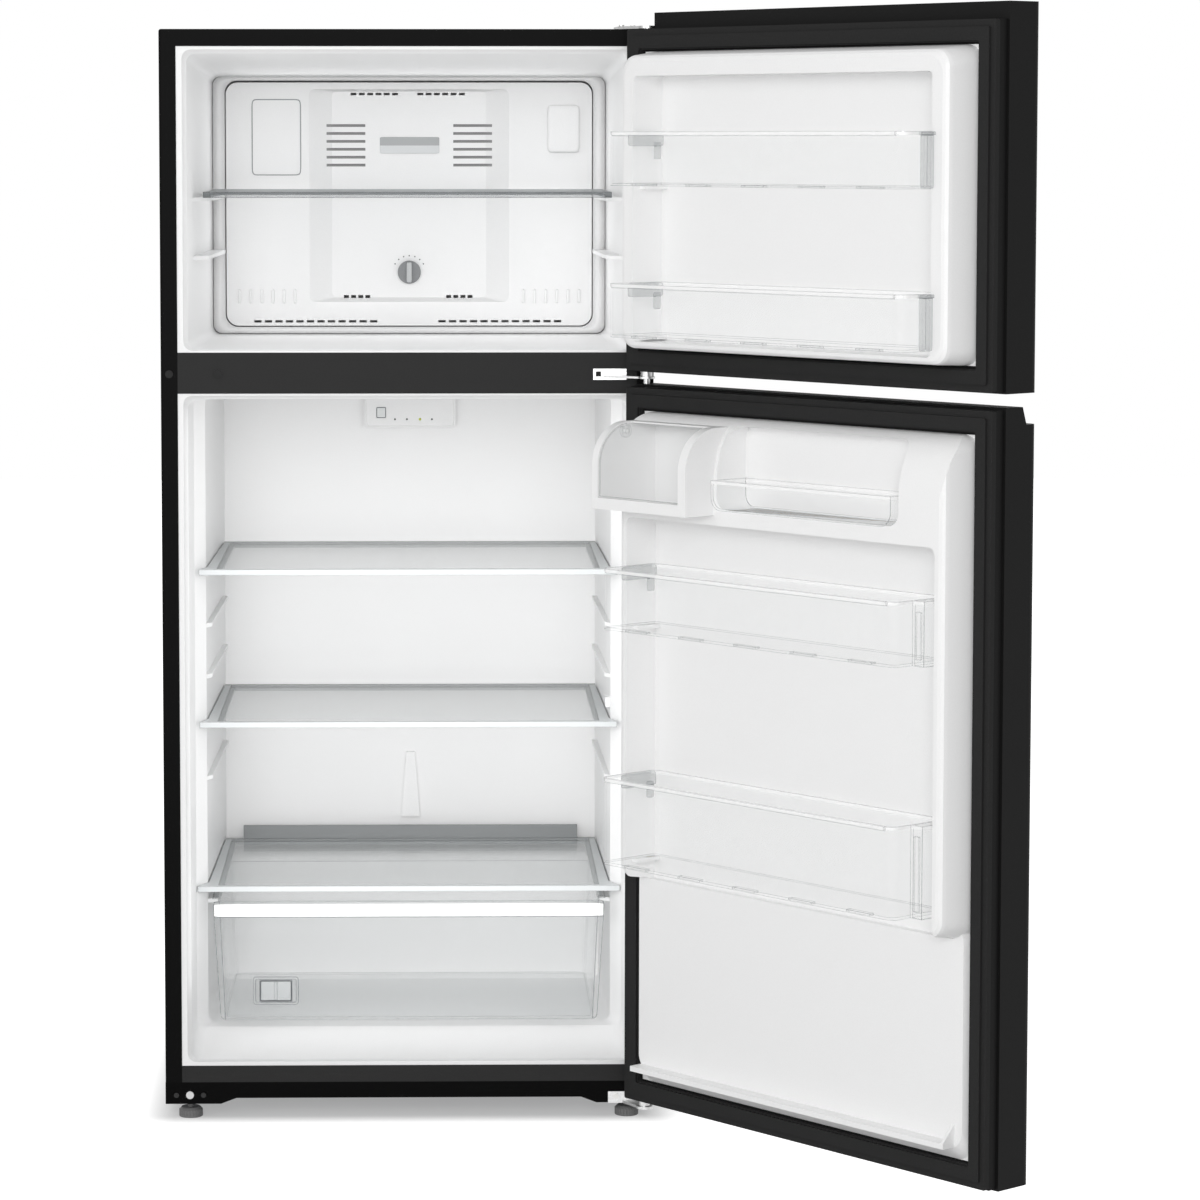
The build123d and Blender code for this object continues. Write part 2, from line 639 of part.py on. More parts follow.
def evaporator_coil():
    """Tubes across the back of the freezer through upright fins, with side plates on the back wall."""
    coil = None
    for y in (BACK_WALL_Y - 48, BACK_WALL_Y - 20):
        for z in (1372, 1402, 1432, 1462):
            tube = rod((-236, y, z), (236, y, z), TUBE_RADIUS)
            coil = tube if coil is None else coil + tube
    for index in range(15):
        x = -224 + 32 * index
        coil += block((x - 0.5, x + 0.5), (BACK_WALL_Y - EVAPORATOR_DEPTH, BACK_WALL_Y), (1358, 1476))
    return coil


def defrost_heater():
    """Heating tube bent to a U under the evaporator, on two clips at the back wall."""
    y, z = BACK_WALL_Y - 40, 1342
    tube = rod((-210, y, z), (210, y, z), TUBE_RADIUS)
    for x in (-210, 210):
        tube += Pos(x, y, z) * Sphere(TUBE_RADIUS)
        tube += rod((x, y, z), (x, BACK_WALL_Y, z), TUBE_RADIUS)
    return tube


def fan_blades(radius):
    """Fan about the Y axis at the origin: a hub with pitched blades and a bore for the motor shaft."""
    fan = rod((0, 0, 0), (0, FAN_DEPTH, 0), FAN_HUB_RADIUS)
    for index in range(FAN_BLADES):
        length = radius - FAN_HUB_RADIUS + 4
        blade = Pos(0, FAN_DEPTH / 2, FAN_HUB_RADIUS - 4 + length / 2) * (Rot(0, 0, 32) * Box(30, 1.6, length))
        fan += Rot(0, 360 / FAN_BLADES * index, 0) * blade
    return fan - rod((0, 4, 0), (0, FAN_DEPTH, 0), SHAFT_RADIUS + RUNNING_GAP)


def fan_motor(depth):
    """Motor about the Y axis behind a fan at the origin: shaft, can and a back plate at the given depth."""
    gap = 2
    motor = rod((0, 4 + SLIDING_GAP, 0), (0, FAN_DEPTH + gap, 0), SHAFT_RADIUS)
    motor += rod((0, FAN_DEPTH + gap, 0), (0, depth, 0), 24)
    return motor + block((-34, 34), (depth - 3, depth), (-34, 34))


EVAPORATOR_FAN = Pos(0, COVER_FRONT_Y + 10, 1532)
CONDENSER_FAN = Pos(CONDENSER_FAN_X, MACHINE_MIDDLE_Y, 150) * Rot(0, 0, -90)


def base_frame():
    """Steel base: bottom sheet, side rails, machine pan and side plates, foot nuts, roller brackets and axles."""
    half = INNER_HALF
    sheet_z = (FOAM_BOTTOM - PAN_SHEET, FOAM_BOTTOM)
    base = block((-half, half), (TOE_DEPTH, MACHINE_Y), sheet_z)
    base += block((-half, half), (MACHINE_Y - PAN_SHEET, MACHINE_Y), (CABINET_BOTTOM, FOAM_BOTTOM))
    base += block((-half, half), (MACHINE_Y, CABINET_DEPTH - 3), (CABINET_BOTTOM, CABINET_BOTTOM + PAN_SHEET))
    rail = block((half - PAN_SHEET, half), (TOE_DEPTH, CABINET_DEPTH - 3), (CABINET_BOTTOM, FOAM_BOTTOM))
    rail += block((half - PAN_SHEET, half), (MACHINE_Y, CABINET_DEPTH - 3), (CABINET_BOTTOM, MACHINE_CEILING))
    base += both_sides(rail)
    base += block((-half, half), (TOE_DEPTH, TOE_DEPTH + PAN_SHEET), (CABINET_BOTTOM, FOAM_BOTTOM))
    tab = block((FOOT_X - 16, half), (FOOT_Y - 14, TOE_DEPTH + PAN_SHEET), (CABINET_BOTTOM, CABINET_BOTTOM + 12))
    base += both_sides(tab)
    room = block((ROLLER_X - 13, ROLLER_X + 13), (ROLLER_Y - 27, ROLLER_Y + 27), (0, CABINET_BOTTOM + PAN_SHEET))
    base -= both_sides(room)
    plate_x = (ROLLER_X + 13, ROLLER_X + 13 + PAN_SHEET)
    bracket = block(plate_x, (ROLLER_Y - 14, ROLLER_Y + 14), (ROLLER_RADIUS - 8, FOAM_BOTTOM))
    bracket += block((plate_x[0], half), (ROLLER_Y - 14, ROLLER_Y + 14), (FOAM_BOTTOM - PAN_SHEET, FOAM_BOTTOM))
    inner = ROLLER_X - ROLLER_WIDTH / 2 - 1
    bracket += rod((plate_x[0], ROLLER_Y, ROLLER_RADIUS), (inner, ROLLER_Y, ROLLER_RADIUS), AXLE_RADIUS)
    bracket += rod((inner, ROLLER_Y, ROLLER_RADIUS), (inner - 2, ROLLER_Y, ROLLER_RADIUS), AXLE_RADIUS + 3)
    base += both_sides(bracket)
    stem = rod((FOOT_X, FOOT_Y, 0), (FOOT_X, FOOT_Y, FOAM_BOTTOM), FOOT_STEM_RADIUS + RUNNING_GAP)
    return base - both_sides(stem)


def toe_grille():
    """Black toe piece: plate with deeper ends and a top return that meets the base."""
    half = CABINET_HALF
    right = [
        (half, RAIL_BOTTOM),
        (half, TOE_END_BOTTOM),
        (TOE_END_INNER, TOE_END_BOTTOM),
        (TOE_END_INNER - TOE_END_SLOPE, CABINET_BOTTOM),
    ]
    outline = Polygon(*right, *[(-x, z) for x, z in reversed(right)], align=None)
    plate = extrude(upright(0) * outline, amount=TOE_THICKNESS, dir=(0, 1, 0))
    top = block((-half, half), (TOE_THICKNESS, TOE_DEPTH), (RAIL_BOTTOM - TOE_THICKNESS, RAIL_BOTTOM))
    rail_room = block((-OPENING_HALF, OPENING_HALF), (0, RAIL_DEPTH), (RAIL_BOTTOM, RAIL_TOP))
    return plate + top - rail_room


def foot(x):
    """Levelling foot: ribbed disc and a stem that turns in the base."""
    disc = Pos(x, FOOT_Y, FOOT_HEIGHT / 2) * Cylinder(FOOT_RADIUS, FOOT_HEIGHT)
    disc = chamfer(disc.edges().group_by(Axis.Z)[-1], 4)
    disc = chamfer(disc.edges().group_by(Axis.Z)[0], 1)
    for index in range(FOOT_RIBS):
        turn = 2 * math.pi * index / FOOT_RIBS
        groove_x = x + FOOT_RADIUS * math.cos(turn)
        groove_y = FOOT_Y + FOOT_RADIUS * math.sin(turn)
        disc -= rod((groove_x, groove_y, 3), (groove_x, groove_y, FOOT_HEIGHT), 1)
    return disc + rod((x, FOOT_Y, FOOT_HEIGHT), (x, FOOT_Y, CABINET_BOTTOM + 10), FOOT_STEM_RADIUS)


def roller(x):
    """Rear roller with a bore for its axle."""
    half = ROLLER_WIDTH / 2
    wheel = rod((x - half, ROLLER_Y, ROLLER_RADIUS), (x + half, ROLLER_Y, ROLLER_RADIUS), ROLLER_RADIUS)
    wheel = chamfer(wheel.edges().filter_by(GeomType.CIRCLE), 1.5)
    bore = rod((x - half, ROLLER_Y, ROLLER_RADIUS), (x + half, ROLLER_Y, ROLLER_RADIUS), AXLE_RADIUS + RUNNING_GAP)
    return wheel - bore


def compressor():
    """Domed compressor shell on a foot plate, standing on the machine pan."""
    floor = CABINET_BOTTOM + PAN_SHEET
    plate = block((COMPRESSOR_X - 90, COMPRESSOR_X + 90), (COMPRESSOR_Y - 55, COMPRESSOR_Y + 55), (floor, floor + 12))
    shell = Pos(COMPRESSOR_X, COMPRESSOR_Y, floor + 8 + COMPRESSOR_HEIGHT / 2)
    shell = shell * Cylinder(COMPRESSOR_RADIUS, COMPRESSOR_HEIGHT)
    shell = fillet(shell.edges().group_by(Axis.Z)[-1], 40)
    return plate + shell


def condenser_coil():
    """Condenser: rows of tubes with round bends between two end plates that stand on the pan."""
    floor = CABINET_BOTTOM + PAN_SHEET
    x_left, x_right = -330, -170
    rows = (80, 112, 144, 176, 208)
    coil = None
    tube_rows_y = (MACHINE_MIDDLE_Y - 30, MACHINE_MIDDLE_Y + 30)
    for y in tube_rows_y:
        for z in rows:
            tube = rod((x_left, y, z), (x_right, y, z), TUBE_RADIUS)
            coil = tube if coil is None else coil + tube
    for x in (x_left + 12, x_right - 12):
        coil += block((x - 1, x + 1), (MACHINE_MIDDLE_Y - 44, MACHINE_MIDDLE_Y + 44), (floor, 222))
    bend_radius = 16
    for index in range(len(rows) - 1):
        bend_z = rows[index] + bend_radius
        x, start = (x_right, -90) if index % 2 == 0 else (x_left, 90)
        for y in tube_rows_y:
            path = Plane.XZ.offset(-y) * CenterArc((x, bend_z), bend_radius, start, 180)
            profile = Plane(origin=path @ 0, z_dir=path % 0) * Circle(TUBE_RADIUS)
            coil += sweep(profile, path=path)
    return coil


def drain_pan():
    """Shallow tray for defrost water between the condenser's end plates."""
    floor = CABINET_BOTTOM + PAN_SHEET
    front, back = MACHINE_MIDDLE_Y - 46, MACHINE_MIDDLE_Y + 46
    tray = block((-310, -190), (front, back), (floor, floor + 24))
    return tray - block((-308, -192), (front + 2, back - 2), (floor + 2, floor + 24))


def condenser_fan_bracket():
    """Sheet upright that carries the condenser fan's motor on the pan."""
    floor = CABINET_BOTTOM + PAN_SHEET
    back = CONDENSER_FAN_X + 60
    return block((back - 3, back), (MACHINE_MIDDLE_Y - 34, MACHINE_MIDDLE_Y + 34), (floor, 116))


def machine_cover():
    """Back cover of the machine space with rows of air slots and a moulded sleeve for the power inlet."""
    inner, face = CABINET_DEPTH - 3, CABINET_DEPTH - SHEET
    cover = block((-INNER_HALF, INNER_HALF), (inner, face), (CABINET_BOTTOM, MACHINE_CEILING))
    for x in range(-310, 311, 62):
        for z in (75, 95, 115, 135):
            cover -= block((x - 22, x + 22), (inner, face), (z, z + 6))
    cover += rod((INLET_X, inner - 12, INLET_Z), (INLET_X, face + 6, INLET_Z), INLET_RADIUS)
    return cover - rod((INLET_X, inner - 12, INLET_Z), (INLET_X, face + 6, INLET_Z), INLET_BORE)


def control_panel():
    """Shallow hollow panel on the back wall, under the ceiling, with a window for its button."""
    width, bottom, top, depth = 154, 1035, 1098, 16
    face = BACK_WALL_Y - depth
    panel = rounded_slab((-width / 2, width / 2), (face, BACK_WALL_Y), (bottom, top), 6)
    inside = (-width / 2 + 2, width / 2 - 2)
    panel -= rounded_slab(inside, (face + 2, BACK_WALL_Y), (bottom + 2, top - 2), 4)
    return panel - block((-56.3, -39.7), (face, face + 2), (1052.7, 1071.3))


def control_button():
    """Square push button in the panel's window, with a flange behind it."""
    face = BACK_WALL_Y - 16
    button = block((-56, -40), (face - 1, face + 4), (1053, 1071))
    return button + block((-58, -38), (face + 2 + SLIDING_GAP, face + 5), (1051, 1073))


def interior_lamp():
    """Lamp board with its diffuser on the back wall inside the control panel."""
    return block((-25, 65), (BACK_WALL_Y - 8, BACK_WALL_Y), (1040, 1056))


def top_hinge():
    """Flat plate on the cabinet top with the pin that enters the freezer door from above."""
    z = (CABINET_TOP, CABINET_TOP + HINGE_PLATE)
    points = [(318, 66), (352, 66), (HINGE_X + 9, -20), (HINGE_X + 9, HINGE_Y), (HINGE_X - 9, HINGE_Y), (322, 0)]
    plate = plan(points, z) + Pos(HINGE_X, HINGE_Y, sum(z) / 2) * Cylinder(ARM_HALF, HINGE_PLATE)
    return plate + rod((HINGE_X, HINGE_Y, z[0]), (HINGE_X, HINGE_Y, z[0] - PIN_LENGTH), PIN_RADIUS)


def middle_hinge():
    """Plate on the mullion with an arm between the doors, a pin up, a pin down and a thrust collar."""
    arm_z = (MIDDLE_ARM_Z, MIDDLE_ARM_Z + MIDDLE_ARM)
    plate = block((285, 336), (-3, 0), (1151, 1168))
    plate -= block((289, 297), (-3, 0), (1156, 1164))
    points = [(300, 0), (336, 0), (HINGE_X + 9, -26), (HINGE_X + 9, HINGE_Y), (HINGE_X - 9, HINGE_Y - 6), (300, -6)]
    hinge = plate + plan(points, arm_z) + Pos(HINGE_X, HINGE_Y, sum(arm_z) / 2) * Cylinder(ARM_HALF, MIDDLE_ARM)
    pin_top = FREEZER_DOOR_BOTTOM + PIN_LENGTH - PIN_END_GAP
    pin_bottom = FRIDGE_DOOR_TOP - PIN_LENGTH + PIN_END_GAP
    hinge += rod((HINGE_X, HINGE_Y, pin_bottom), (HINGE_X, HINGE_Y, pin_top), PIN_RADIUS)
    return hinge + rod((HINGE_X, HINGE_Y, arm_z[1]), (HINGE_X, HINGE_Y, FREEZER_DOOR_BOTTOM - SLIDING_GAP), 9)


def bottom_hinge():
    """Angle on the toe piece with the pin and collar that carry the fridge door."""
    arm_z = (BOTTOM_ARM_Z, BOTTOM_ARM_Z + HINGE_PLATE)
    plate = block((310, 377), (-HINGE_PLATE, 0), (BOTTOM_ARM_Z, 42))
    points = [(330, 0), (377, 0), (HINGE_X + 12, HINGE_Y), (HINGE_X - 12, HINGE_Y)]
    hinge = plate + plan(points, arm_z) + Pos(HINGE_X, HINGE_Y, sum(arm_z) / 2) * Cylinder(ARM_HALF, HINGE_PLATE)
    pin_top = FRIDGE_DOOR_BOTTOM + PIN_LENGTH - PIN_END_GAP
    hinge += rod((HINGE_X, HINGE_Y, arm_z[0]), (HINGE_X, HINGE_Y, pin_top), PIN_RADIUS)
    return hinge + rod((HINGE_X, HINGE_Y, arm_z[1]), (HINGE_X, HINGE_Y, FRIDGE_DOOR_BOTTOM - SLIDING_GAP), 9)


def hinge_screws():
    """Heads of the hinge screws, and of the two screws left in the toe piece on the other side."""
    heads = []
    plate_top = CABINET_TOP + HINGE_PLATE
    for x, y in ((328, 14), (330, 52), (346, 34)):
        heads.append(rod((x, y, plate_top), (x, y, plate_top + SCREW_HEAD), SCREW_HEAD_RADIUS))
    for x, face, z in ((307, -3, 1163), (329, -3, 1163.5), (322, -4, 35), (342, -4, 35), (362, -4, 35)):
        heads.append(rod((x, face, z), (x, face - SCREW_HEAD, z), SCREW_HEAD_RADIUS))
    for x in (-361, -319):
        heads.append(rod((x, 0, 38), (x, -SCREW_HEAD, 38), SCREW_HEAD_RADIUS))
    return Part() + heads


def hole_plugs():
    """Round plugs over the hinge holes of the unused side."""
    plugs = []
    for x, z, radius in ((-291, 1160, 7.5), (-365, 1160, 6), (-340, 38, 6)):
        plugs.append(rod((x, 0, z), (x, -2, z), radius))
    return Part() + plugs


def door_outline(inset):
    """Plan of a door's outer shell: straight sides, rounded corners and a slightly crowned front."""
    half = DOOR_HALF - inset
    side, crown = DOOR_SIDE_Y + inset, DOOR_CROWN_Y + inset
    edges = [
        Line((half, side), (half, DOOR_BACK_Y)),
        Line((half, DOOR_BACK_Y), (-half, DOOR_BACK_Y)),
        Line((-half, DOOR_BACK_Y), (-half, side)),
        ThreePointArc((-half, side), (0, crown), (half, side)),
    ]
    face = make_face(edges)
    corners = face.vertices().filter_by_position(Axis.Y, side - 0.1, side + 0.1)
    return fillet(corners, DOOR_CORNER - inset)


def door_prism(inset, z):
    """Solid of the door's plan between two heights."""
    return extrude(Pos(0, 0, z[0]) * door_outline(inset), amount=z[1] - z[0], dir=(0, 0, 1))


def door_skin(z, rim_z, dyke_z, cut):
    """Bent steel shell of a door: front, sides and the folded edge behind the gasket."""
    return door_prism(0, z) - door_prism(SHEET, z) + skin_return(z, rim_z, dyke_z) - cut


def grip_scoop():
    """Finger scoop along the top front edge of the fridge door."""
    front = DOOR_CROWN_Y - 1
    profile = Polygon(
        (front, SCOOP_FLOOR),
        (SCOOP_Y, SCOOP_FLOOR),
        (SCOOP_Y + SCOOP_SLOPE, FRIDGE_DOOR_TOP),
        (front, FRIDGE_DOOR_TOP),
        align=None,
    )
    return side_profile(profile, (-DOOR_HALF, DOOR_HALF))


def hinge_boss(z):
    """Block of an end cap around a hinge pin."""
    return block((HINGE_X - 18, DOOR_HALF - SHEET), (HINGE_Y - 20, DOOR_BACK_Y), z)


def hinge_bore(z):
    """Bearing hole of a hinge pin."""
    return rod((HINGE_X, HINGE_Y, z[0]), (HINGE_X, HINGE_Y, z[1]), PIN_RADIUS + RUNNING_GAP)


def top_notch():
    """Corner of the freezer door cut away under the top hinge plate."""
    return block((338, DOOR_HALF), (-78, RIM_Y), (CABINET_TOP - 3, FREEZER_DOOR_TOP))


FREEZER_CAPS = (FREEZER_DOOR_BOTTOM + CAP_THICKNESS, CABINET_TOP - 3 - 6)
FREEZER_BOSSES = (FREEZER_DOOR_BOTTOM + PIN_LENGTH, CABINET_TOP - PIN_LENGTH - PIN_END_GAP)
FRIDGE_CAPS = (FRIDGE_DOOR_BOTTOM + CAP_THICKNESS, SCOOP_FLOOR - SCOOP_WEB)
FRIDGE_BOSSES = (FRIDGE_DOOR_BOTTOM + PIN_LENGTH, FRIDGE_DOOR_TOP - PIN_LENGTH)


def end_caps(bottom, top, caps, bosses, cuts):
    """Plastic caps in the two ends of a door, with the bearing holes of the hinge pins."""
    lower = door_prism(SHEET, (bottom, caps[0])) + hinge_boss((bottom, bosses[0] + CAP_FLOOR))
    lower -= hinge_bore((bottom, bosses[0]))
    upper = door_prism(SHEET, (caps[1], top)) + hinge_boss((bosses[1] - CAP_FLOOR, top))
    upper -= hinge_bore((bosses[1], top))
    for cut in cuts:
        upper -= cut
    return lower + upper


def ridge(half, z, draft, inset):
    """Raised block on a door's inner side with drafted sides and a rounded rim at its top."""
    foot_y, top_y = RIM_Y - inset, DYKE_Y - inset
    round_y = top_y - DYKE_ROUND
    half, bottom, top = half - inset, z[0] + inset, z[1] - inset
    sections = [(foot_y, half, bottom, top, DYKE_RADIUS)]
    for turn in (0, 30, 60, 90):
        angle = math.radians(turn)
        pull = DYKE_ROUND * (1 - math.cos(angle))
        depth = round_y + DYKE_ROUND * math.sin(angle)
        sections.append((depth, half - draft[0] - pull, bottom + draft[1] + pull, top - draft[2] - pull, DYKE_RADIUS))
    return tunnel(sections)


def rim_block(z, inset):
    """Slab behind the gasket, over the whole inner side of a door."""
    half = RIM_HALF - inset
    return block((-half, half), (DOOR_BACK_Y, RIM_Y - inset), (z[0] + inset, z[1] - inset))


def freezer_door_form(inset):
    """Inner side of the freezer door: rim and raised ring around one recess."""
    ring = ridge(DYKE_BASE_HALF, FREEZER_RING_Z, (8, 2, 6), inset)
    half = FREEZER_RECESS_HALF + inset
    recess_z = (FREEZER_RECESS_BOTTOM - inset, FREEZER_RECESS_TOP + inset)
    recess = rounded_slab((-half, half), (RIM_Y - inset, DYKE_Y), recess_z, FREEZER_RECESS_RADIUS)
    return rim_block(FREEZER_RIM_Z, inset) + ring - recess


def fridge_arch(inset):
    """Straight face and quarter-oval top that bound the raised block of the fridge door."""
    foot_y, start_z = RIM_Y - inset, FRIDGE_RING_TOP - FRIDGE_ARCH_HEIGHT
    span_x = (-DYKE_BASE_HALF, DYKE_BASE_HALF)
    oval = Pos(foot_y, start_z) * Ellipse(DYKE_Y - RIM_Y, FRIDGE_ARCH_HEIGHT - inset)
    return side_profile(oval, span_x) + block(span_x, (foot_y, DYKE_Y - inset), (FRIDGE_DYKE_BOTTOM, start_z))


def fridge_door_form(inset):
    """Inner side of the fridge door: rim, side ridges, arched top block with two recesses, low lower panel."""
    ring = ridge(DYKE_BASE_HALF, (FRIDGE_DYKE_BOTTOM, FRIDGE_RING_TOP), (8, 6, 0), inset)
    ring = ring & fridge_arch(inset)
    bottom, top = LOWER_PANEL_BOTTOM + inset, FRIDGE_DYKE_BOTTOM + 20
    half = DYKE_BASE_HALF - inset
    panel = tunnel([
        (RIM_Y - inset, half, bottom, top, DYKE_RADIUS),
        (LOWER_PANEL_Y - inset, half - 6, bottom + LOWER_PANEL_DRAFT, top, DYKE_RADIUS),
    ])
    floor_y = RIM_Y - inset
    recess_half = FRIDGE_RECESS_HALF + inset
    form = rim_block(FRIDGE_RIM_Z, inset) + ring + panel
    span_x = (-recess_half, recess_half)
    form -= rounded_slab(span_x, (floor_y, DYKE_Y), (FRIDGE_DYKE_BOTTOM - inset, FRIDGE_RECESS_TOP + inset), 12)
    form -= block(span_x, (floor_y, DYKE_Y), (FRIDGE_DYKE_BOTTOM - inset, FRIDGE_DYKE_BOTTOM + 40))
    dairy_x = (DAIRY_INNER_X - inset, DAIRY_OUTER_X + inset)
    dairy_z = (DAIRY_FLOOR - inset, DAIRY_PIVOT_Z + inset)
    form -= rounded_slab(dairy_x, (floor_y, DYKE_Y), dairy_z, 2 + inset)
    tray_x = (TRAY_RECESS_LEFT - inset, TRAY_RECESS_RIGHT + inset)
    tray_z = (TRAY_RECESS_BOTTOM - inset, TRAY_RECESS_TOP + inset)
    return form - rounded_slab(tray_x, (floor_y, DYKE_Y), tray_z, TRAY_RECESS_RADIUS)


def skin_return(z, rim_z, dyke_z):
    """Folded edge of a door skin: the step behind the outer shell and the dark frame that carries the gasket."""
    outer = block((-DOOR_HALF, DOOR_HALF), (DOOR_BACK_Y, DOOR_BACK_Y + SHEET), z)
    outer -= block((-RIM_HALF, RIM_HALF), (DOOR_BACK_Y, RIM_Y), rim_z)
    frame = rim_block(rim_z, 0) - rim_block(rim_z, DOOR_LINER)
    return outer + frame - block((-DYKE_BASE_HALF, DYKE_BASE_HALF), (DOOR_BACK_Y, RIM_Y), dyke_z)


def bin_supports(recess_half, bottoms):
    """Small ledges in the door recess, under the ends of the bins."""
    supports = []
    for bottom in bottoms:
        span_x = (recess_half - BIN_SUPPORT_WIDTH, recess_half + DOOR_LINER / 2)
        span_y = (RIM_Y - DOOR_LINER / 4, BIN_SUPPORT_FRONT_Y)
        support = block(span_x, span_y, (bottom - BIN_SUPPORT, bottom))
        supports.append(both_sides(support))
    return supports


def dairy_arch(grow):
    """Side view of the dairy compartment: quarter round from the pivot down to its upright front."""
    radius = DAIRY_RADIUS + grow
    start_y = DAIRY_FRONT_Y - DAIRY_RADIUS
    centre_z = DAIRY_PIVOT_Z - DAIRY_RADIUS
    bend = radius * math.sqrt(0.5)
    edges = [
        ThreePointArc(
            (start_y, centre_z + radius),
            (start_y + bend, centre_z + bend),
            (start_y + radius, centre_z),
        ),
        Line((start_y + radius, centre_z), (start_y + radius, DAIRY_FLOOR)),
        Line((start_y + radius, DAIRY_FLOOR), (start_y, DAIRY_FLOOR)),
        Line((start_y, DAIRY_FLOOR), (start_y, centre_z + radius)),
    ]
    return make_face(edges)


def dairy_housing():
    """White dairy housing on the door liner: arched ends, floor with a front lip and the cover's pivots."""
    front_y = DAIRY_FRONT_Y + 2
    span_x = (DAIRY_INNER_X - DAIRY_DIVIDER, DAIRY_OUTER_X + 13)
    inner_x = (DAIRY_INNER_X, DAIRY_OUTER_X)
    top = DAIRY_PIVOT_Z + 2
    ends = side_profile(dairy_arch(2), span_x)
    ends += block(span_x, (RIM_Y + 1, DAIRY_FRONT_Y - DAIRY_RADIUS), (FRIDGE_RING_TOP - FRIDGE_ARCH_HEIGHT, top))
    ends -= block(inner_x, (RIM_Y, front_y), (0, CABINET_TOP))
    strip = block(span_x, (RIM_Y + 1, dairy_pivot()[0] - DAIRY_EYE_RADIUS - 4), (DAIRY_PIVOT_Z, top))
    ends = ends + strip - fridge_door_form(0)
    floor = block(span_x, (DYKE_Y, front_y), (DAIRY_FLOOR - 5, DAIRY_FLOOR))
    lip_z = (DAIRY_FLOOR - 1, DAIRY_FLOOR + 12)
    front_lip = block(inner_x, (front_y - 3, front_y), lip_z)
    pivots = rod((DAIRY_INNER_X, *dairy_pivot()), (DAIRY_INNER_X + 6, *dairy_pivot()), DAIRY_PIVOT_RADIUS)
    pivots += rod((DAIRY_OUTER_X - 6, *dairy_pivot()), (DAIRY_OUTER_X, *dairy_pivot()), DAIRY_PIVOT_RADIUS)
    return ends + floor + front_lip + pivots


def dairy_pivot():
    """Depth and height of the line that the dairy cover turns about."""
    return DYKE_Y + 4, DAIRY_PIVOT_Z - 12


def dairy_cover():
    """Clear curved cover with two pivot eyes."""
    x = (DAIRY_INNER_X + 2 * SLIDING_GAP, DAIRY_OUTER_X - 2 * SLIDING_GAP)
    shell = side_profile(dairy_arch(0), x) - side_profile(dairy_arch(-DAIRY_COVER_WALL), x)
    keep_y = (DYKE_Y + SLIDING_GAP, DAIRY_FRONT_Y + 1)
    shell = shell & block(x, keep_y, (DAIRY_FLOOR + 14, DAIRY_PIVOT_Z + 1))
    for eye_x in ((x[0], x[0] + 5), (x[1] - 5, x[1])):
        shell += rod((eye_x[0], *dairy_pivot()), (eye_x[1], *dairy_pivot()), DAIRY_EYE_RADIUS)
        shell -= rod((eye_x[0], *dairy_pivot()), (eye_x[1], *dairy_pivot()), DAIRY_PIVOT_RADIUS + RUNNING_GAP)
    return shell


def fridge_door_liner():
    """White liner of the fridge door with bin ledges and the braced bottom ledge."""
    z = (FRIDGE_DOOR_BOTTOM, FRIDGE_DOOR_TOP)
    frame = skin_return(z, FRIDGE_RIM_Z, (LOWER_PANEL_BOTTOM, FRIDGE_RING_TOP))
    liner = fridge_door_form(0) - fridge_door_form(DOOR_LINER) - frame
    for support in bin_supports(FRIDGE_RECESS_HALF, FRIDGE_BIN_BOTTOMS):
        liner += support
    ledge_x = (-DYKE_BASE_HALF + 20, DYKE_BASE_HALF - 12)
    ledge_z = (DOOR_LEDGE_Z, DOOR_LEDGE_Z + DOOR_LEDGE_THICKNESS)
    liner += block(ledge_x, (LOWER_PANEL_Y - 1, DOOR_LEDGE_Y), ledge_z)
    root_y = LOWER_PANEL_Y - DOOR_LINER / 2
    brace_top = ledge_z[1] + DOOR_BRACE_HEIGHT
    brace = Polygon((root_y, ledge_z[1]), (DOOR_LEDGE_Y, ledge_z[1]), (root_y, brace_top), align=None)
    return liner + side_profile(brace, (ledge_x[0], ledge_x[0] + 5))


def door_bin(recess_half, bottom, height, bracket=0):
    """Clear door bin with rounded corners, a thick front rim, drain slots and, on the free side, a hollow end bracket."""
    half = recess_half - BIN_SIDE_GAP
    x = (-half + bracket, half)
    y = (RIM_Y + BIN_BACK_GAP, BIN_FRONT_Y - BIN_RIM)
    top = bottom + height
    wall = BIN_WALL
    outer = block(x, y, (bottom, top))
    outer = fillet(outer.edges().filter_by(Axis.Z), BIN_RADIUS)
    inner = block((x[0] + wall, x[1] - wall), (y[0] + wall, y[1] - wall), (bottom + wall, top))
    inner = fillet(inner.edges().filter_by(Axis.Z), BIN_RADIUS - wall)
    rim_x = (x[0] + BIN_RADIUS, x[1] - BIN_RADIUS)
    shell = outer - inner + block(rim_x, (y[1] - wall / 2, BIN_FRONT_Y), (top - 2 * BIN_RIM, top))
    pitch = (rim_x[1] - rim_x[0]) / BIN_SLOTS
    slot_y = (y[1] - BIN_SLOT_FRONT_GAP - BIN_SLOT_DEPTH, y[1] - BIN_SLOT_FRONT_GAP)
    for index in range(BIN_SLOTS):
        middle = rim_x[0] + pitch * (index + 0.5)
        shell -= block((middle - pitch / 5, middle + pitch / 5), slot_y, (bottom, bottom + wall))
    if bracket:
        shell += bin_bracket((-half, x[0] + wall / 2), (bottom, top))
    return shell


def bin_bracket(x, z):
    """Hollow upright bracket between a bin's end and the recess wall, with a slot in its front."""
    y, wall = (BRACKET_BACK_Y, BRACKET_FRONT_Y), BIN_WALL
    bracket = block(x, y, z) - block((x[0] + wall, x[1] - wall), (y[0] + wall, y[1] - wall), z)
    middle = (x[0] + x[1]) / 2
    slot_x = (middle - BRACKET_SLOT / 2, middle + BRACKET_SLOT / 2)
    return bracket - block(slot_x, (y[1] - wall, y[1]), (z[0] + 10, z[1] - 16))


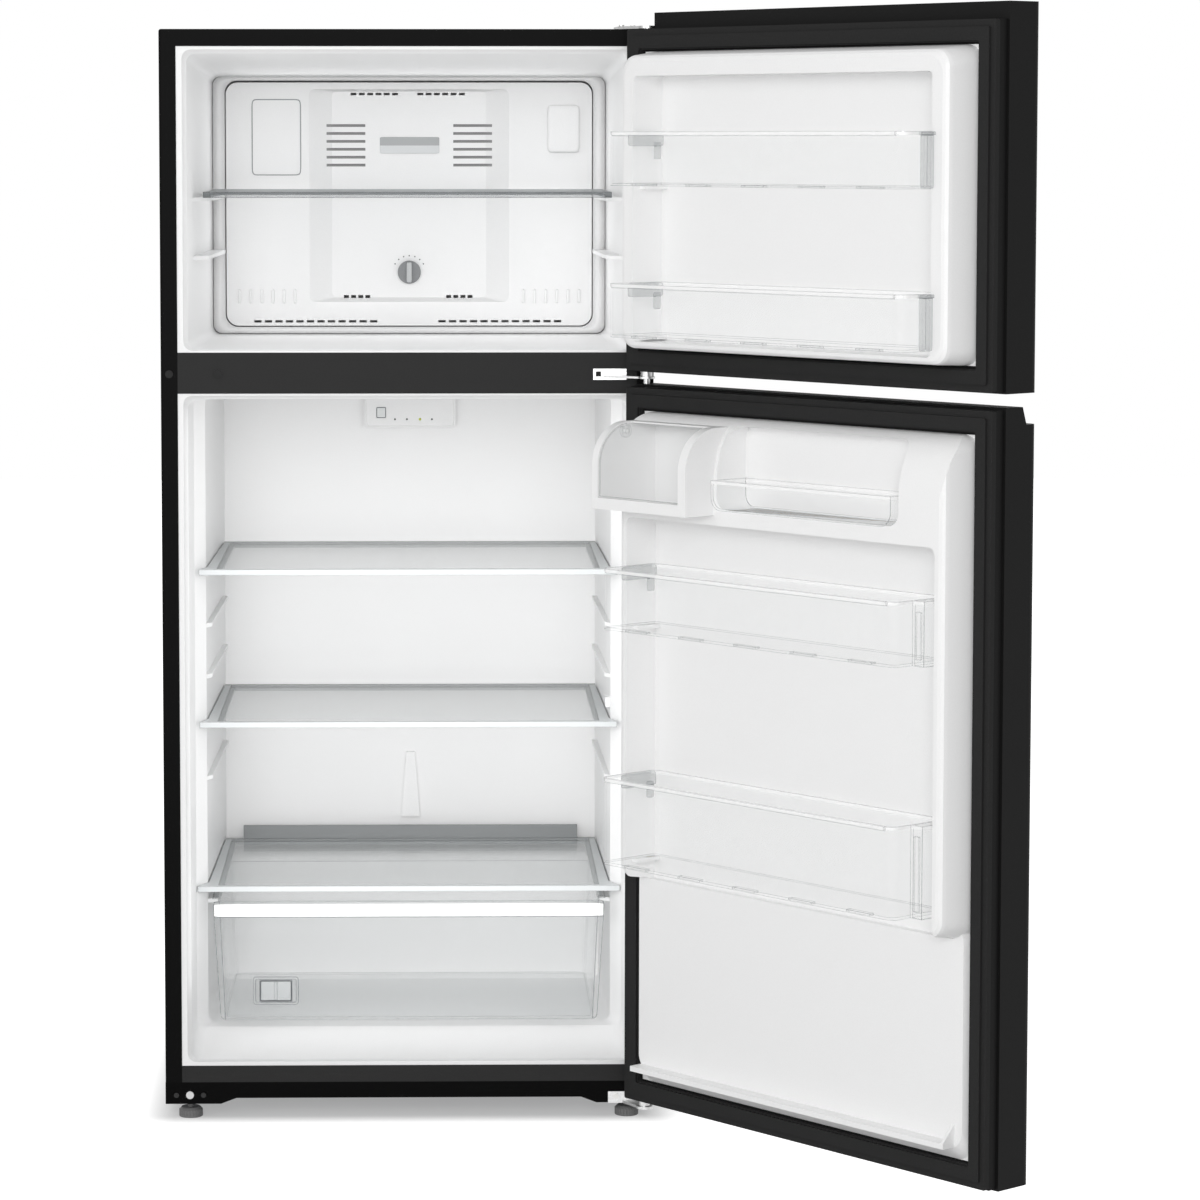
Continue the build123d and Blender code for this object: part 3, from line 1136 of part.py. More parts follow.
def utility_tray():
    """Clear tray in the shallow recess beside the dairy compartment, with rounded lower corners."""
    x = (TRAY_RECESS_LEFT + BIN_SIDE_GAP, TRAY_RECESS_RIGHT - BIN_SIDE_GAP)
    y = (RIM_Y + BIN_BACK_GAP, TRAY_FRONT_Y)
    bottom, top = TRAY_RECESS_BOTTOM, TRAY_RECESS_BOTTOM + TRAY_HEIGHT
    wall, radius = TRAY_WALL, TRAY_RECESS_RADIUS
    outer = rounded_slab(x, y, (bottom, top + radius), radius)
    inner_z = (bottom + wall, top + radius + wall)
    inner = rounded_slab((x[0] + wall, x[1] - wall), (y[0] + wall, y[1] - wall), inner_z, radius - wall)
    return outer - inner - block(x, y, (top, top + radius))


def gasket(bottom, top):
    """Door seal: flat base ring with a narrower magnetic bulb."""

    def ring(inset, width, y, radius):
        x = GASKET_HALF - inset
        outer = rounded_slab((-x, x), y, (bottom + inset, top - inset), radius)
        inner_half = x - width
        inner_z = (bottom + inset + width, top - inset - width)
        return outer - rounded_slab((-inner_half, inner_half), y, inner_z, radius)

    base = ring(0, GASKET_WIDTH, (RIM_Y, GASKET_BASE_Y), 3)
    bulb = ring(BULB_INSET, GASKET_WIDTH - BULB_INSET - 2, (GASKET_BASE_Y, GASKET_FACE_Y), 3)
    return base + bulb


def opened(part):
    """A door piece swung from the closed to the stored open position."""
    return part.rotate(DOOR_HINGE, DOOR_OPEN)


def door_foam(z, caps, bosses, form):
    """Foam core of a door between its caps, with the filled ring of its inner side."""
    core = door_prism(SHEET, caps) + form
    return core - hinge_boss((z[0], bosses[0] + CAP_FLOOR)) - hinge_boss((bosses[1] - CAP_FLOOR, z[1]))


def cabinet_pieces():
    """Every piece of the cabinet by node name."""
    glass_span = fridge_shelf_glass_span()
    pieces = {
        "cabinet_wrapper": cabinet_wrapper(),
        "rear_panel": rear_panel(),
        "cabinet_foam": cabinet_foam(),
        "freezer_liner": freezer_liner(),
        "fridge_liner": fridge_liner(),
        "center_mullion": cross_rail(MULLION_BOTTOM, MULLION_TOP),
        "bottom_rail": cross_rail(RAIL_BOTTOM, RAIL_TOP),
        "base_frame": base_frame(),
        "toe_grille": toe_grille(),
        "hole_plugs": hole_plugs(),
        "top_hinge": top_hinge(),
        "middle_hinge": middle_hinge(),
        "bottom_hinge": bottom_hinge(),
        "hinge_screws": hinge_screws(),
        "compressor": compressor(),
        "condenser_coil": condenser_coil(),
        "condenser_fan_motor": CONDENSER_FAN * fan_motor(60) + condenser_fan_bracket(),
        "drain_pan": drain_pan(),
        "machine_cover": machine_cover(),
        "evaporator_coil": evaporator_coil(),
        "evaporator_fan_motor": EVAPORATOR_FAN * fan_motor(BACK_WALL_Y - COVER_FRONT_Y - 10),
        "defrost_heater": defrost_heater(),
        "evaporator_cover": evaporator_cover(),
        "damper_housing": damper_housing(),
        "freezer_shelf": freezer_shelf(),
        "crisper_cover_frame": crisper_cover_frame(),
        "crisper_cover_glass": shelf_glass(CRISPER_COVER_TOP, *glass_span),
        "control_panel": control_panel(),
        "interior_lamp": interior_lamp(),
        "left_foot": foot(-FOOT_X),
        "right_foot": foot(FOOT_X),
        "left_roller": roller(-ROLLER_X),
        "right_roller": roller(ROLLER_X),
        "condenser_fan": CONDENSER_FAN * fan_blades(FAN_RADIUS),
        "evaporator_fan": EVAPORATOR_FAN * fan_blades(FAN_RADIUS),
        "temperature_knob": temperature_knob(),
        "control_button": control_button(),
        "crisper_drawer": crisper_drawer(),
        "humidity_slider": humidity_slider(),
    }
    for name, top in zip(("upper_shelf", "lower_shelf"), SHELF_TOPS):
        pieces[f"{name}_frame"] = shelf_frame(top, fridge_shelf_plan(SHELF_EAR_HALF), *glass_span)
        pieces[f"{name}_glass"] = shelf_glass(top, *glass_span)
    return pieces


def freezer_door_pieces():
    """Pieces of the freezer door, drawn closed."""
    z = (FREEZER_DOOR_BOTTOM, FREEZER_DOOR_TOP)
    notch = top_notch()
    liner = freezer_door_form(0) - freezer_door_form(DOOR_LINER) - skin_return(z, FREEZER_RIM_Z, FREEZER_RING_Z)
    for support in bin_supports(FREEZER_RECESS_HALF, FREEZER_BIN_BOTTOMS):
        liner += support
    pieces = {
        "freezer_door_skin": door_skin(z, FREEZER_RIM_Z, FREEZER_RING_Z, notch),
        "freezer_door_foam": door_foam(z, FREEZER_CAPS, FREEZER_BOSSES, freezer_door_form(DOOR_LINER)) - notch,
        "freezer_door_liner": liner - notch,
        "freezer_door_gasket": gasket(FREEZER_GASKET_BOTTOM, FREEZER_GASKET_TOP),
        "freezer_door_caps": end_caps(*z, FREEZER_CAPS, FREEZER_BOSSES, [notch]),
    }
    for name, bottom in zip(("freezer_bin_upper", "freezer_bin_lower"), FREEZER_BIN_BOTTOMS):
        pieces[name] = door_bin(FREEZER_RECESS_HALF, bottom, FREEZER_BIN_HEIGHT)
    return pieces


def fridge_door_pieces():
    """Pieces of the fridge door, drawn closed."""
    z = (FRIDGE_DOOR_BOTTOM, FRIDGE_DOOR_TOP)
    scoop = grip_scoop()
    pieces = {
        "fridge_door_skin": door_skin(z, FRIDGE_RIM_Z, (LOWER_PANEL_BOTTOM, FRIDGE_RING_TOP), scoop),
        "fridge_door_foam": door_foam(z, FRIDGE_CAPS, FRIDGE_BOSSES, fridge_door_form(DOOR_LINER)),
        "fridge_door_liner": fridge_door_liner(),
        "fridge_door_gasket": gasket(FRIDGE_GASKET_BOTTOM, FRIDGE_GASKET_TOP),
        "fridge_door_caps": end_caps(*z, FRIDGE_CAPS, FRIDGE_BOSSES, [scoop]),
        "dairy_housing": dairy_housing(),
        "dairy_cover": dairy_cover(),
        "utility_tray": utility_tray(),
    }
    names = ("door_bin_upper", "door_bin_lower")
    for name, bottom, height in zip(names, FRIDGE_BIN_BOTTOMS, FRIDGE_BIN_HEIGHTS):
        pieces[name] = door_bin(FRIDGE_RECESS_HALF, bottom, height, BIN_BRACKET)
    return pieces


def main():
    """Build every piece and write it to its own file."""
    os.makedirs("parts", exist_ok=True)
    pieces = cabinet_pieces()
    for name, piece in (freezer_door_pieces() | fridge_door_pieces()).items():
        pieces[name] = opened(piece)
    for name, piece in pieces.items():
        export_step(piece, f"parts/{name}.step")
    print(len(pieces), "pieces")


main()
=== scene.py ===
import math

import bmesh
import bpy
import numpy as np
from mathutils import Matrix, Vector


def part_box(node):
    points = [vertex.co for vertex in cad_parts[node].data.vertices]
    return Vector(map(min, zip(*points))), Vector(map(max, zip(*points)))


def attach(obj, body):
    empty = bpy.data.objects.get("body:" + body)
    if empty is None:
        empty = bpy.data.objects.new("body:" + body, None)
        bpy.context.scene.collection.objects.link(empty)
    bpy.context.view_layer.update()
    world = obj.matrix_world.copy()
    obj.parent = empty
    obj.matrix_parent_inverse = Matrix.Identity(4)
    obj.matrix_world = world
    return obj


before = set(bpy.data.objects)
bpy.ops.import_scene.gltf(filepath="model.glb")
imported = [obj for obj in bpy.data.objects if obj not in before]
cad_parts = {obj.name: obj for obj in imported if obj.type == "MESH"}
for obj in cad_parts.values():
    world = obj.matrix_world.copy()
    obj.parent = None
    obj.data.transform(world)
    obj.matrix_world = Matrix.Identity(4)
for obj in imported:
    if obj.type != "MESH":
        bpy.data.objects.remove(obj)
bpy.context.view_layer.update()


# Cabinet shell: one sheet of steel folded over the top and both sides, and stove enamelled black.
# A zinc-coated sheet closes the back, and a frame of the same steel stands under it.
# Polyurethane is foamed in place between the shell and the liners and holds them together.


def linear(code):
    """sRGB hex as linear colour.

    A channel c gives c / 12.92 up to 0.04045, and ((c + 0.055) / 1.055) to the power 2.4 above it."""
    channel = np.array([int(code[start:start + 2], 16) for start in (1, 3, 5)]) / 255
    bright = ((channel + 0.055) / 1.055) ** 2.4
    return (*np.where(channel <= 0.04045, channel / 12.92, bright), 1.0)


def add(owner, kind, inputs=None, **settings):
    """Adds one node to a material or the world.

    inputs gives a socket its value, or the output socket that feeds it."""
    tree = owner.node_tree
    made = tree.nodes.new(kind)
    for name, value in settings.items():
        setattr(made, name, value)
    for socket, value in (inputs or {}).items():
        if isinstance(value, bpy.types.NodeSocket):
            tree.links.new(value, made.inputs[socket])
        else:
            made.inputs[socket].default_value = value
    return made


def feed(material, **sockets):
    """Links output sockets into the shader's sockets of the given names."""
    shader = material.node_tree.nodes["Principled BSDF"]
    for name, source in sockets.items():
        material.node_tree.links.new(source, shader.inputs[name.replace("_", " ")])


def finish(name, colour, roughness, **sockets):
    """New material with its even values on the shader: colour, roughness and other sockets by their names."""
    material = bpy.data.materials.new(name)
    material.use_nodes = True
    shader = material.node_tree.nodes["Principled BSDF"]
    shader.inputs["Base Color"].default_value = linear(colour)
    shader.inputs["Roughness"].default_value = roughness
    for socket, value in sockets.items():
        shader.inputs[socket.replace("_", " ")].default_value = value
    return material


def grain(material, size, height, low=None, high=None, spread=None):
    """Noise of a real size in metres, as a bump of the given height.

    Where they are given, it also runs between two colours and over a span of roughness."""
    place = add(material, "ShaderNodeTexCoord").outputs["Object"]
    noise = add(material, "ShaderNodeTexNoise", {"Vector": place, "Scale": 1 / size, "Detail": 3.0})
    value = noise.outputs["Fac"]
    bump = add(material, "ShaderNodeBump", {"Height": value, "Strength": 1.0, "Distance": height})
    feed(material, Normal=bump.outputs["Normal"])
    if low:
        ramp = add(material, "ShaderNodeValToRGB", {"Fac": value})
        for stop, position, tone in zip(ramp.color_ramp.elements, (0.3, 0.7), (low, high)):
            stop.position, stop.color = position, linear(tone)
        feed(material, Base_Color=ramp.outputs["Color"])
    if spread:
        span = {"Value": value, "To Min": spread[0], "To Max": spread[1]}
        feed(material, Roughness=add(material, "ShaderNodeMapRange", span).outputs["Result"])
    return material


# A Mix node set to colours takes them at inputs 6 and 7 and gives the mixed colour at output 2.
first_tone, second_tone, mixed_tone = 6, 7, 2


def two_tone(material, axis, level, low, high):
    """Colours a material by one Object coordinate: low up to a level in metres, and high beyond it."""
    place = add(material, "ShaderNodeTexCoord").outputs["Object"]
    axes = add(material, "ShaderNodeSeparateXYZ", {"Vector": place})
    beyond = add(material, "ShaderNodeMath", {0: axes.outputs[axis], 1: level}, operation="GREATER_THAN")
    tones = {"Factor": beyond.outputs["Value"], first_tone: linear(low), second_tone: linear(high)}
    feed(material, Base_Color=add(material, "ShaderNodeMix", tones, data_type="RGBA").outputs[mixed_tone])


def dress(material, *nodes):
    """Puts a material on CAD nodes."""
    for node in nodes:
        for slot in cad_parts[node].material_slots:
            slot.material = material


# Stove enamel is sprayed and baked: a soft gloss with a faint orange peel of about 2 mm.
enamel = finish("stove_enamel", "#080808", 0.45, Specular_IOR_Level=0.04)
grain(enamel, size=0.002, height=0.00002, low="#060606", high="#0a0a0a", spread=(0.4, 0.5))
dress(enamel, "cabinet_wrapper")
# Hot zinc freezes in crystals of about 8 mm, which show as a patchy grey sheen.
zinc = finish("zinc_coated_steel", "#8d9093", 0.45, Metallic=0.9)
grain(zinc, size=0.008, height=0.00001, low="#85888b", high="#96999c", spread=(0.4, 0.55))
dress(zinc, "rear_panel", "base_frame")
# Foamed polyurethane has a dull yellow skin with cells of about 3 mm.
# Beyond a depth it is coloured nearly black: painted shade, so that the thin gap of the seam at the back
# shows dark.
seam_shade_from_y = 0.66
foam = finish("polyurethane_foam", "#d9c48c", 0.9)
grain(foam, size=0.003, height=0.0002)
two_tone(foam, "Y", seam_shade_from_y, low="#d9c48c", high="#141414")
dress(foam, "cabinet_foam", "freezer_door_foam", "fridge_door_foam")


# Liners: white high-impact polystyrene sheets, drawn by vacuum into the freezer, the fridge and the doors.
# The dairy compartment's housing and the air damper are moulded in the same white.
# The surface is satin, with a very fine texture that is drawn at 1.5 mm so that it shows.
liner = finish("vacuum_formed_polystyrene", "#f0f0f0", 0.4, IOR=1.5)
grain(liner, size=0.0015, height=0.00001, low="#eeeeee", high="#f2f2f2", spread=(0.36, 0.46))
dress(liner, "freezer_liner", "fridge_liner", "freezer_door_liner", "fridge_door_liner")
dress(liner, "dairy_housing", "damper_housing")


# Rails: pressed steel between the side flanges, one below the freezer and one above the toe piece.
# Their baked paint is a dark grey, duller and lighter than the enamel, with the same peel of 2 mm.
rail_paint = finish("dark_grey_paint", "#2a2a2a", 0.55, Specular_IOR_Level=0.1)
grain(rail_paint, size=0.002, height=0.00002, low="#282828", high="#2c2c2c", spread=(0.5, 0.6))
dress(rail_paint, "center_mullion", "bottom_rail")


# Base: a black polypropylene toe piece, two knurled levelling feet and two rear rollers.
# Moulded polypropylene is dull, with a spark texture that is drawn at 1.2 mm so that it shows.
black_moulding = finish("black_polypropylene", "#080808", 0.5, Specular_IOR_Level=0.03)
grain(black_moulding, size=0.0012, height=0.00004, low="#060606", high="#0a0a0a", spread=(0.45, 0.6))
dress(black_moulding, "toe_grille")
grey_moulding = finish("grey_polypropylene", "#6c6c6c", 0.5)
grain(grey_moulding, size=0.0012, height=0.00004, low="#646464", high="#747474", spread=(0.45, 0.6))
dress(grey_moulding, "left_foot", "right_foot", "left_roller", "right_roller")
# Polyethylene plugs fill the unused hinge holes: waxy white in the toe piece, and dark at the mullion.
dark_plugs_from_z = 0.5
plug_moulding = finish("plug_polyethylene", "#d8d8d8", 0.45, Specular_IOR_Level=0.1)
grain(plug_moulding, size=0.001, height=0.00003)
two_tone(plug_moulding, "Z", dark_plugs_from_z, low="#dcdcdc", high="#222222")
dress(plug_moulding, "hole_plugs")


# Hinges: plates of stamped steel with a bright zinc finish, screwed to the top, the mullion and the base.
# The zinc is cloudy at about 3 mm and mirrors the room softly.
bright_steel = finish("bright_zinc_steel", "#c4c4c2", 0.3, Metallic=1.0)
grain(bright_steel, size=0.003, height=0.00001, low="#bababa", high="#cecece", spread=(0.26, 0.4))
dress(bright_steel, "top_hinge", "middle_hinge", "bottom_hinge")
# The hinges' screws are bright as well, and the two left in the toe piece on the other side are dark.
bright_screws_from_x = -0.1
screw_steel = finish("screw_steel", "#c4c4c2", 0.35, Metallic=0.8)
grain(screw_steel, size=0.001, height=0.00001)
two_tone(screw_steel, "X", bright_screws_from_x, low="#2a2a2a", high="#c4c4c2")
dress(screw_steel, "hinge_screws")


# Machine space: a painted compressor, a bare coil, a fan on its motor and a pan for the melted frost.
# A slotted cover closes it at the back. The freezer's own coil, heater and fan are made of the same.
# Compressor paint is dipped on and slightly rough.
compressor_paint = finish("black_compressor_paint", "#101010", 0.45)
grain(compressor_paint, size=0.002, height=0.00003, low="#0d0d0d", high="#151515")
dress(compressor_paint, "compressor")
# Drawn aluminium tube has a soft metal gloss with faint clouds of about 2 mm.
coil_metal = finish("bare_aluminium", "#c4c6c8", 0.35, Metallic=1.0)
grain(coil_metal, size=0.002, height=0.00001, low="#b8babc", high="#cfd1d3", spread=(0.3, 0.45))
dress(coil_metal, "condenser_coil", "evaporator_coil", "defrost_heater")
# Moulded polypropylene, dull and nearly black.
dark_moulding = finish("dark_polypropylene", "#26282a", 0.55)
grain(dark_moulding, size=0.0015, height=0.00004, low="#222426", high="#2b2d2f")
dress(dark_moulding, "condenser_fan_motor", "evaporator_fan_motor", "condenser_fan", "evaporator_fan")
dress(dark_moulding, "drain_pan", "machine_cover")


# Evaporator cover: one white polypropylene moulding with a raised air duct, over the freezer's back wall.
# Two rows of ribs, a lamp hood and the outline of a knock-out are moulded on its plate.


def points(x, y, z):
    """Points from coordinates, of which some are the same for all."""
    return np.stack(np.broadcast_arrays(x, y, z), axis=-1)


def signed_power(value, exponent):
    """The size of a value to a power, with the value's own sign."""
    return np.sign(value) * np.abs(value) ** exponent


def grid_mesh(name, grids, material, body):
    """One mesh of several closed grids of points, shape (pieces, rows, columns, 3), that rides on a body.

    Columns wrap round, and rows run from pole to pole or back to the first. Points that meet are merged."""
    pieces, rows, columns = grids.shape[:3]
    corner = np.arange(pieces * rows * columns).reshape(pieces, rows, columns)
    beside = np.roll(corner, -1, axis=2)
    faces = np.stack([corner[:, :-1], beside[:, :-1], beside[:, 1:], corner[:, 1:]], axis=-1).reshape(-1, 4)
    mesh = bpy.data.meshes.new(name)
    mesh.from_pydata(grids.reshape(-1, 3).tolist(), [], faces.tolist())
    shell = bmesh.new()
    shell.from_mesh(mesh)
    bmesh.ops.remove_doubles(shell, verts=shell.verts, dist=1e-6)
    bmesh.ops.recalc_face_normals(shell, faces=shell.faces)
    shell.to_mesh(mesh)
    shell.free()
    mesh.polygons.foreach_set("use_smooth", np.ones(len(mesh.polygons), dtype=bool))
    mesh.materials.append(material)
    piece = bpy.data.objects.new(name, mesh)
    bpy.context.scene.collection.objects.link(piece)
    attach(piece, body)


def pillows(centres, halves, square=0.3, steps=12):
    """Rounded blocks about their centres, from two angles, tilt and turn.

    Across, half sizes go with powers of cos(tilt) times powers of cos(turn) and sin(turn), and upwards with
    a power of sin(tilt). The power is square: 1 gives an ellipsoid, and a small one is nearly a box."""
    tilt = np.linspace(-math.pi / 2, math.pi / 2, steps)[:, None]
    turn = np.linspace(0, 2 * math.pi, 2 * steps, endpoint=False)[None, :] + math.pi / (2 * steps)
    level = signed_power(np.cos(tilt), square)
    level[[0, -1]] = 0
    across = level * signed_power(np.cos(turn), square)
    deep = level * signed_power(np.sin(turn), square)
    unit = points(across, deep, signed_power(np.sin(tilt), square))
    centres = np.asarray(centres, float)
    halves = np.broadcast_to(np.asarray(halves, float), centres.shape)
    return centres[:, None, None, :] + unit[None] * halves[:, None, None, :]


def loop_bead(centre, half_width, half_height, bead, corner=0.3, count=64):
    """Bead around an upright rounded rectangle: a circle of radius bead carried along a closed line.

    The line is half_width times a power of the cosine, and half_height times a power of the sine, of one
    turn. The power is corner: a small one is nearly a sharp corner."""
    turn = np.linspace(0, 2 * math.pi, count, endpoint=False)[:, None]
    along = np.linspace(0, 2 * math.pi, 12, endpoint=False)[None, :]
    out = bead * np.cos(along)
    x = signed_power(np.cos(turn), corner) * half_width + out * np.cos(turn)
    z = signed_power(np.sin(turn), corner) * half_height + out * np.sin(turn)
    ring = points(x, bead * np.sin(along), z)
    return np.asarray(centre, float) + np.concatenate([ring, ring[:1]])[None]


# White polypropylene is satin, with a spark texture drawn at 1.2 mm; its seams are grey lines of painted
# shade.
cover_moulding = finish("white_polypropylene", "#eeeeee", 0.45)
grain(cover_moulding, size=0.0012, height=0.00002, low="#ececec", high="#f0f0f0", spread=(0.4, 0.5))
dress(cover_moulding, "evaporator_cover")
seam_shade = finish("painted_seam_shade", "#9a9c9d", 0.6)
grain(seam_shade, size=0.001, height=0.00001, low="#949697", high="#a0a2a3")
duct_face, plate_face = 0.505, 0.517
rib_inner, rib_outer, ribs_a_side = 0.189, 0.281, 6
rib_z, rib_half = 1.2595, (0.0022, 0.004, 0.0115)
rib_run = np.linspace(rib_inner, rib_outer, ribs_a_side)
ribs = pillows(points(np.concatenate([-rib_run[::-1], rib_run]), plate_face, rib_z), rib_half)
grid_mesh("cover_ribs", ribs, cover_moulding, "cabinet")
# The knock-out's outline is a bead of painted shade, for the shade in its groove.
knock_out = loop_bead((-0.219, plate_face, 1.522), half_width=0.040, half_height=0.062, bead=0.0009,
                      corner=0.12, count=96)
grid_mesh("knock_out_line", knock_out, seam_shade, "cabinet")
hood_middle, hood_half = (0.255, plate_face, 1.536), (0.0265, 0.010, 0.0390)
grid_mesh("lamp_hood", pillows([hood_middle], hood_half, square=0.2, steps=24), cover_moulding, "cabinet")


# Cover flange: the freezer liner's white edge round the evaporator cover, which leaves only a thin seam.
# It is a flat ring of the liner's own sheet.


def rounded_loop(half_width, bottom, top, radius, y, steps=9):
    """Points around an upright rounded rectangle: a quarter circle about each corner's centre, in turn."""
    turn = (np.linspace(0, math.pi / 2, steps)[None] + np.arange(4)[:, None] * math.pi / 2).ravel()
    side = np.repeat([1, -1, -1, 1], steps)
    rise = np.repeat([1, 1, -1, -1], steps)
    x = side * (half_width - radius) + radius * np.cos(turn)
    z = (top + bottom) / 2 + rise * ((top - bottom) / 2 - radius) + radius * np.sin(turn)
    return points(x, y, z)


flange_y, flange_thickness = 0.5185, 0.002
flange_inside = rounded_loop(half_width=0.3042, bottom=1.2088, top=1.6152, radius=0.021, y=flange_y)
flange_outside = rounded_loop(half_width=0.3240, bottom=1.1982, top=1.6215, radius=0.0145, y=flange_y)
flange_front = np.stack([flange_inside, flange_outside])
flange_back = flange_front[::-1] + np.array([0, flange_thickness, 0])
flange = np.concatenate([flange_front, flange_back, flange_front[:1]])
grid_mesh("cover_flange", flange[None], liner, "cabinet")


# Vents and badge: a louvre stands behind each slot at the sides of the duct, just behind its face.
# Between the vents a bare two-tone badge is glued on.
louvre_lowest, louvre_pitch, louvres_a_side = 1.47625, 0.013, 6
left_vent_x, right_vent_x = -0.104, 0.105
louvre_y, louvre_half = 0.5103, (0.0325, 0.001, 0.0034)
louvre_x = np.repeat([left_vent_x, right_vent_x], louvres_a_side)
louvre_z = np.tile(louvre_lowest + louvre_pitch * np.arange(louvres_a_side), 2)
# The louvres are grey with painted shade, which stands for the shade inside the slots.
louvre_shade = finish("louvre_painted_shade", "#8c8c8c", 0.5)
grain(louvre_shade, size=0.0012, height=0.00002, low="#888888", high="#909090")
louvres = pillows(points(louvre_x, louvre_y, louvre_z), louvre_half, square=0.15)
grid_mesh("vent_louvres", louvres, louvre_shade, "cabinet")
# The badge is moulded with a satin face: pale below its middle and darker above.
badge_middle, badge_half, badge_line_z = (0.001, duct_face, 1.509), (0.049, 0.0015, 0.0135), 1.5085
badge_moulding = finish("pale_grey_badge", "#b4b7b9", 0.4)
grain(badge_moulding, size=0.001, height=0.00002)
two_tone(badge_moulding, "Z", badge_line_z, low="#cfd1d2", high="#a2a4a5")
grid_mesh("bare_badge", pillows([badge_middle], badge_half, square=0.1, steps=24), badge_moulding, "cabinet")


# Temperature dial: a dark grey ABS knob on the duct's face, with a lighter grip across it.
# Seven dots are pad printed around it. ABS is satin, with a texture drawn at 1 mm.
knob_moulding = finish("dark_grey_abs", "#77797b", 0.4)
grain(knob_moulding, size=0.001, height=0.00002, low="#717375", high="#7d7f81", spread=(0.36, 0.46))
dress(knob_moulding, "temperature_knob")
dial_z = 1.300
grip_moulding = finish("light_grey_abs", "#b3b5b6", 0.4)
grain(grip_moulding, size=0.001, height=0.00002, low="#adafb0", high="#b9bbbc")
knob_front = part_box("temperature_knob")[0][1]
grip = pillows([(0, knob_front, dial_z)], (0.0042, 0.0022, 0.0165), steps=16)
grid_mesh("knob_grip", grip, grip_moulding, "temperature_knob")
# Pad print is a thin dull film of grey ink.
mark_ink = finish("grey_pad_print", "#6f7274", 0.6)
grain(mark_ink, size=0.0005, height=0.000005, low="#696c6e", high="#757879")
mark_radius, mark_half = 0.027, (0.0012, 0.0003, 0.0012)
mark_turn = np.radians(np.linspace(-60, 60, 7))
marks = points(mark_radius * np.sin(mark_turn), duct_face, dial_z + mark_radius * np.cos(mark_turn))
grid_mesh("dial_marks", pillows(marks, mark_half, square=1.0, steps=8), mark_ink, "cabinet")


# Shelves: a grey-clear moulded shelf in the freezer, and toughened glass in grey frames in the fridge.
# They lie loose on the liners' ledges.
# Clear pieces let the light through square on and close up where they are seen along the surface.


def edge_line(material, radius):
    """1 along the corners of a piece and 0 on its faces.

    It is how far the normal, rounded over a radius, leaves the face's own: their dot product, mapped from
    0.985 for 0 to 0.85 for 1."""
    rounded = add(material, "ShaderNodeBevel", {"Radius": radius}, samples=4)
    face = add(material, "ShaderNodeNewGeometry")
    both = {0: rounded.outputs["Normal"], 1: face.outputs["True Normal"]}
    along = add(material, "ShaderNodeVectorMath", both, operation="DOT_PRODUCT")
    level = add(material, "ShaderNodeMath", {0: along.outputs["Value"]}, operation="ABSOLUTE")
    span = {"Value": level.outputs["Value"], "From Min": 0.985, "From Max": 0.85}
    return add(material, "ShaderNodeMapRange", span).outputs["Result"]


def clear(name, colour, square_on, along, roughness=0.1, edge=0.75, line="#787c7e", rim=None, **sockets):
    """Clear material: its alpha runs from square_on, seen square on, to along, seen along the surface.

    Its corners get a darker line with the alpha edge: painted shade, for where the real one bends the light.
    Above the height rim it carries a painted highlight: bright and nearly solid. Lamps shine through it:
    alpha is 0 for shadow rays."""
    material = finish(name, colour, roughness, IOR=1.49, **sockets)
    weight = add(material, "ShaderNodeLayerWeight", {"Blend": 0.5})
    span = {"Value": weight.outputs["Facing"], "To Min": square_on, "To Max": along}
    alpha = add(material, "ShaderNodeMapRange", span).outputs["Result"]
    tone = linear(colour)
    if rim:
        rim_alpha, rim_highlight_tone = 0.6, linear("#fafafa")
        place = add(material, "ShaderNodeTexCoord").outputs["Object"]
        height = add(material, "ShaderNodeSeparateXYZ", {"Vector": place}).outputs["Z"]
        above = {0: height, 1: rim}
        raised = add(material, "ShaderNodeMath", above, operation="GREATER_THAN").outputs["Value"]
        tones = {"Factor": raised, first_tone: tone, second_tone: rim_highlight_tone}
        tone = add(material, "ShaderNodeMix", tones, data_type="RGBA").outputs[mixed_tone]
        both = {0: raised, 1: rim_alpha}
        solid = add(material, "ShaderNodeMath", both, operation="MULTIPLY").outputs["Value"]
        alpha = add(material, "ShaderNodeMath", {0: alpha, 1: solid}, operation="MAXIMUM").outputs["Value"]
    corner = edge_line(material, radius=0.002)
    tones = {"Factor": corner, first_tone: tone, second_tone: linear(line)}
    feed(material, Base_Color=add(material, "ShaderNodeMix", tones, data_type="RGBA").outputs[mixed_tone])
    drawn = add(material, "ShaderNodeMath", {0: corner, 1: edge}, operation="MULTIPLY").outputs["Value"]
    alpha = add(material, "ShaderNodeMath", {0: alpha, 1: drawn}, operation="MAXIMUM").outputs["Value"]
    shadow = add(material, "ShaderNodeLightPath").outputs["Is Shadow Ray"]
    shown = add(material, "ShaderNodeMath", {0: 1.0, 1: shadow}, operation="SUBTRACT").outputs["Value"]
    alpha = add(material, "ShaderNodeMath", {0: alpha, 1: shown}, operation="MULTIPLY").outputs["Value"]
    feed(material, Alpha=alpha)
    return grain(material, size=0.006, height=0.000004)


# Moulded polystyrene of a smoky grey, with dark lines of painted shade along its corners.
freezer_shelf_clear = clear("grey_clear_polystyrene", "#85898b", square_on=0.3, along=0.95, roughness=0.3,
                            edge=0.9, line="#3f4243", Specular_IOR_Level=0.05)
dress(freezer_shelf_clear, "freezer_shelf")
# Float glass, toughened: nearly colourless, and grey along its faces.
# Its corners carry grey lines of painted shade.
shelf_glass = clear("toughened_glass", "#a9adae", square_on=0.08, along=0.42, roughness=0.03)
dress(shelf_glass, "upper_shelf_glass", "lower_shelf_glass", "crisper_cover_glass")
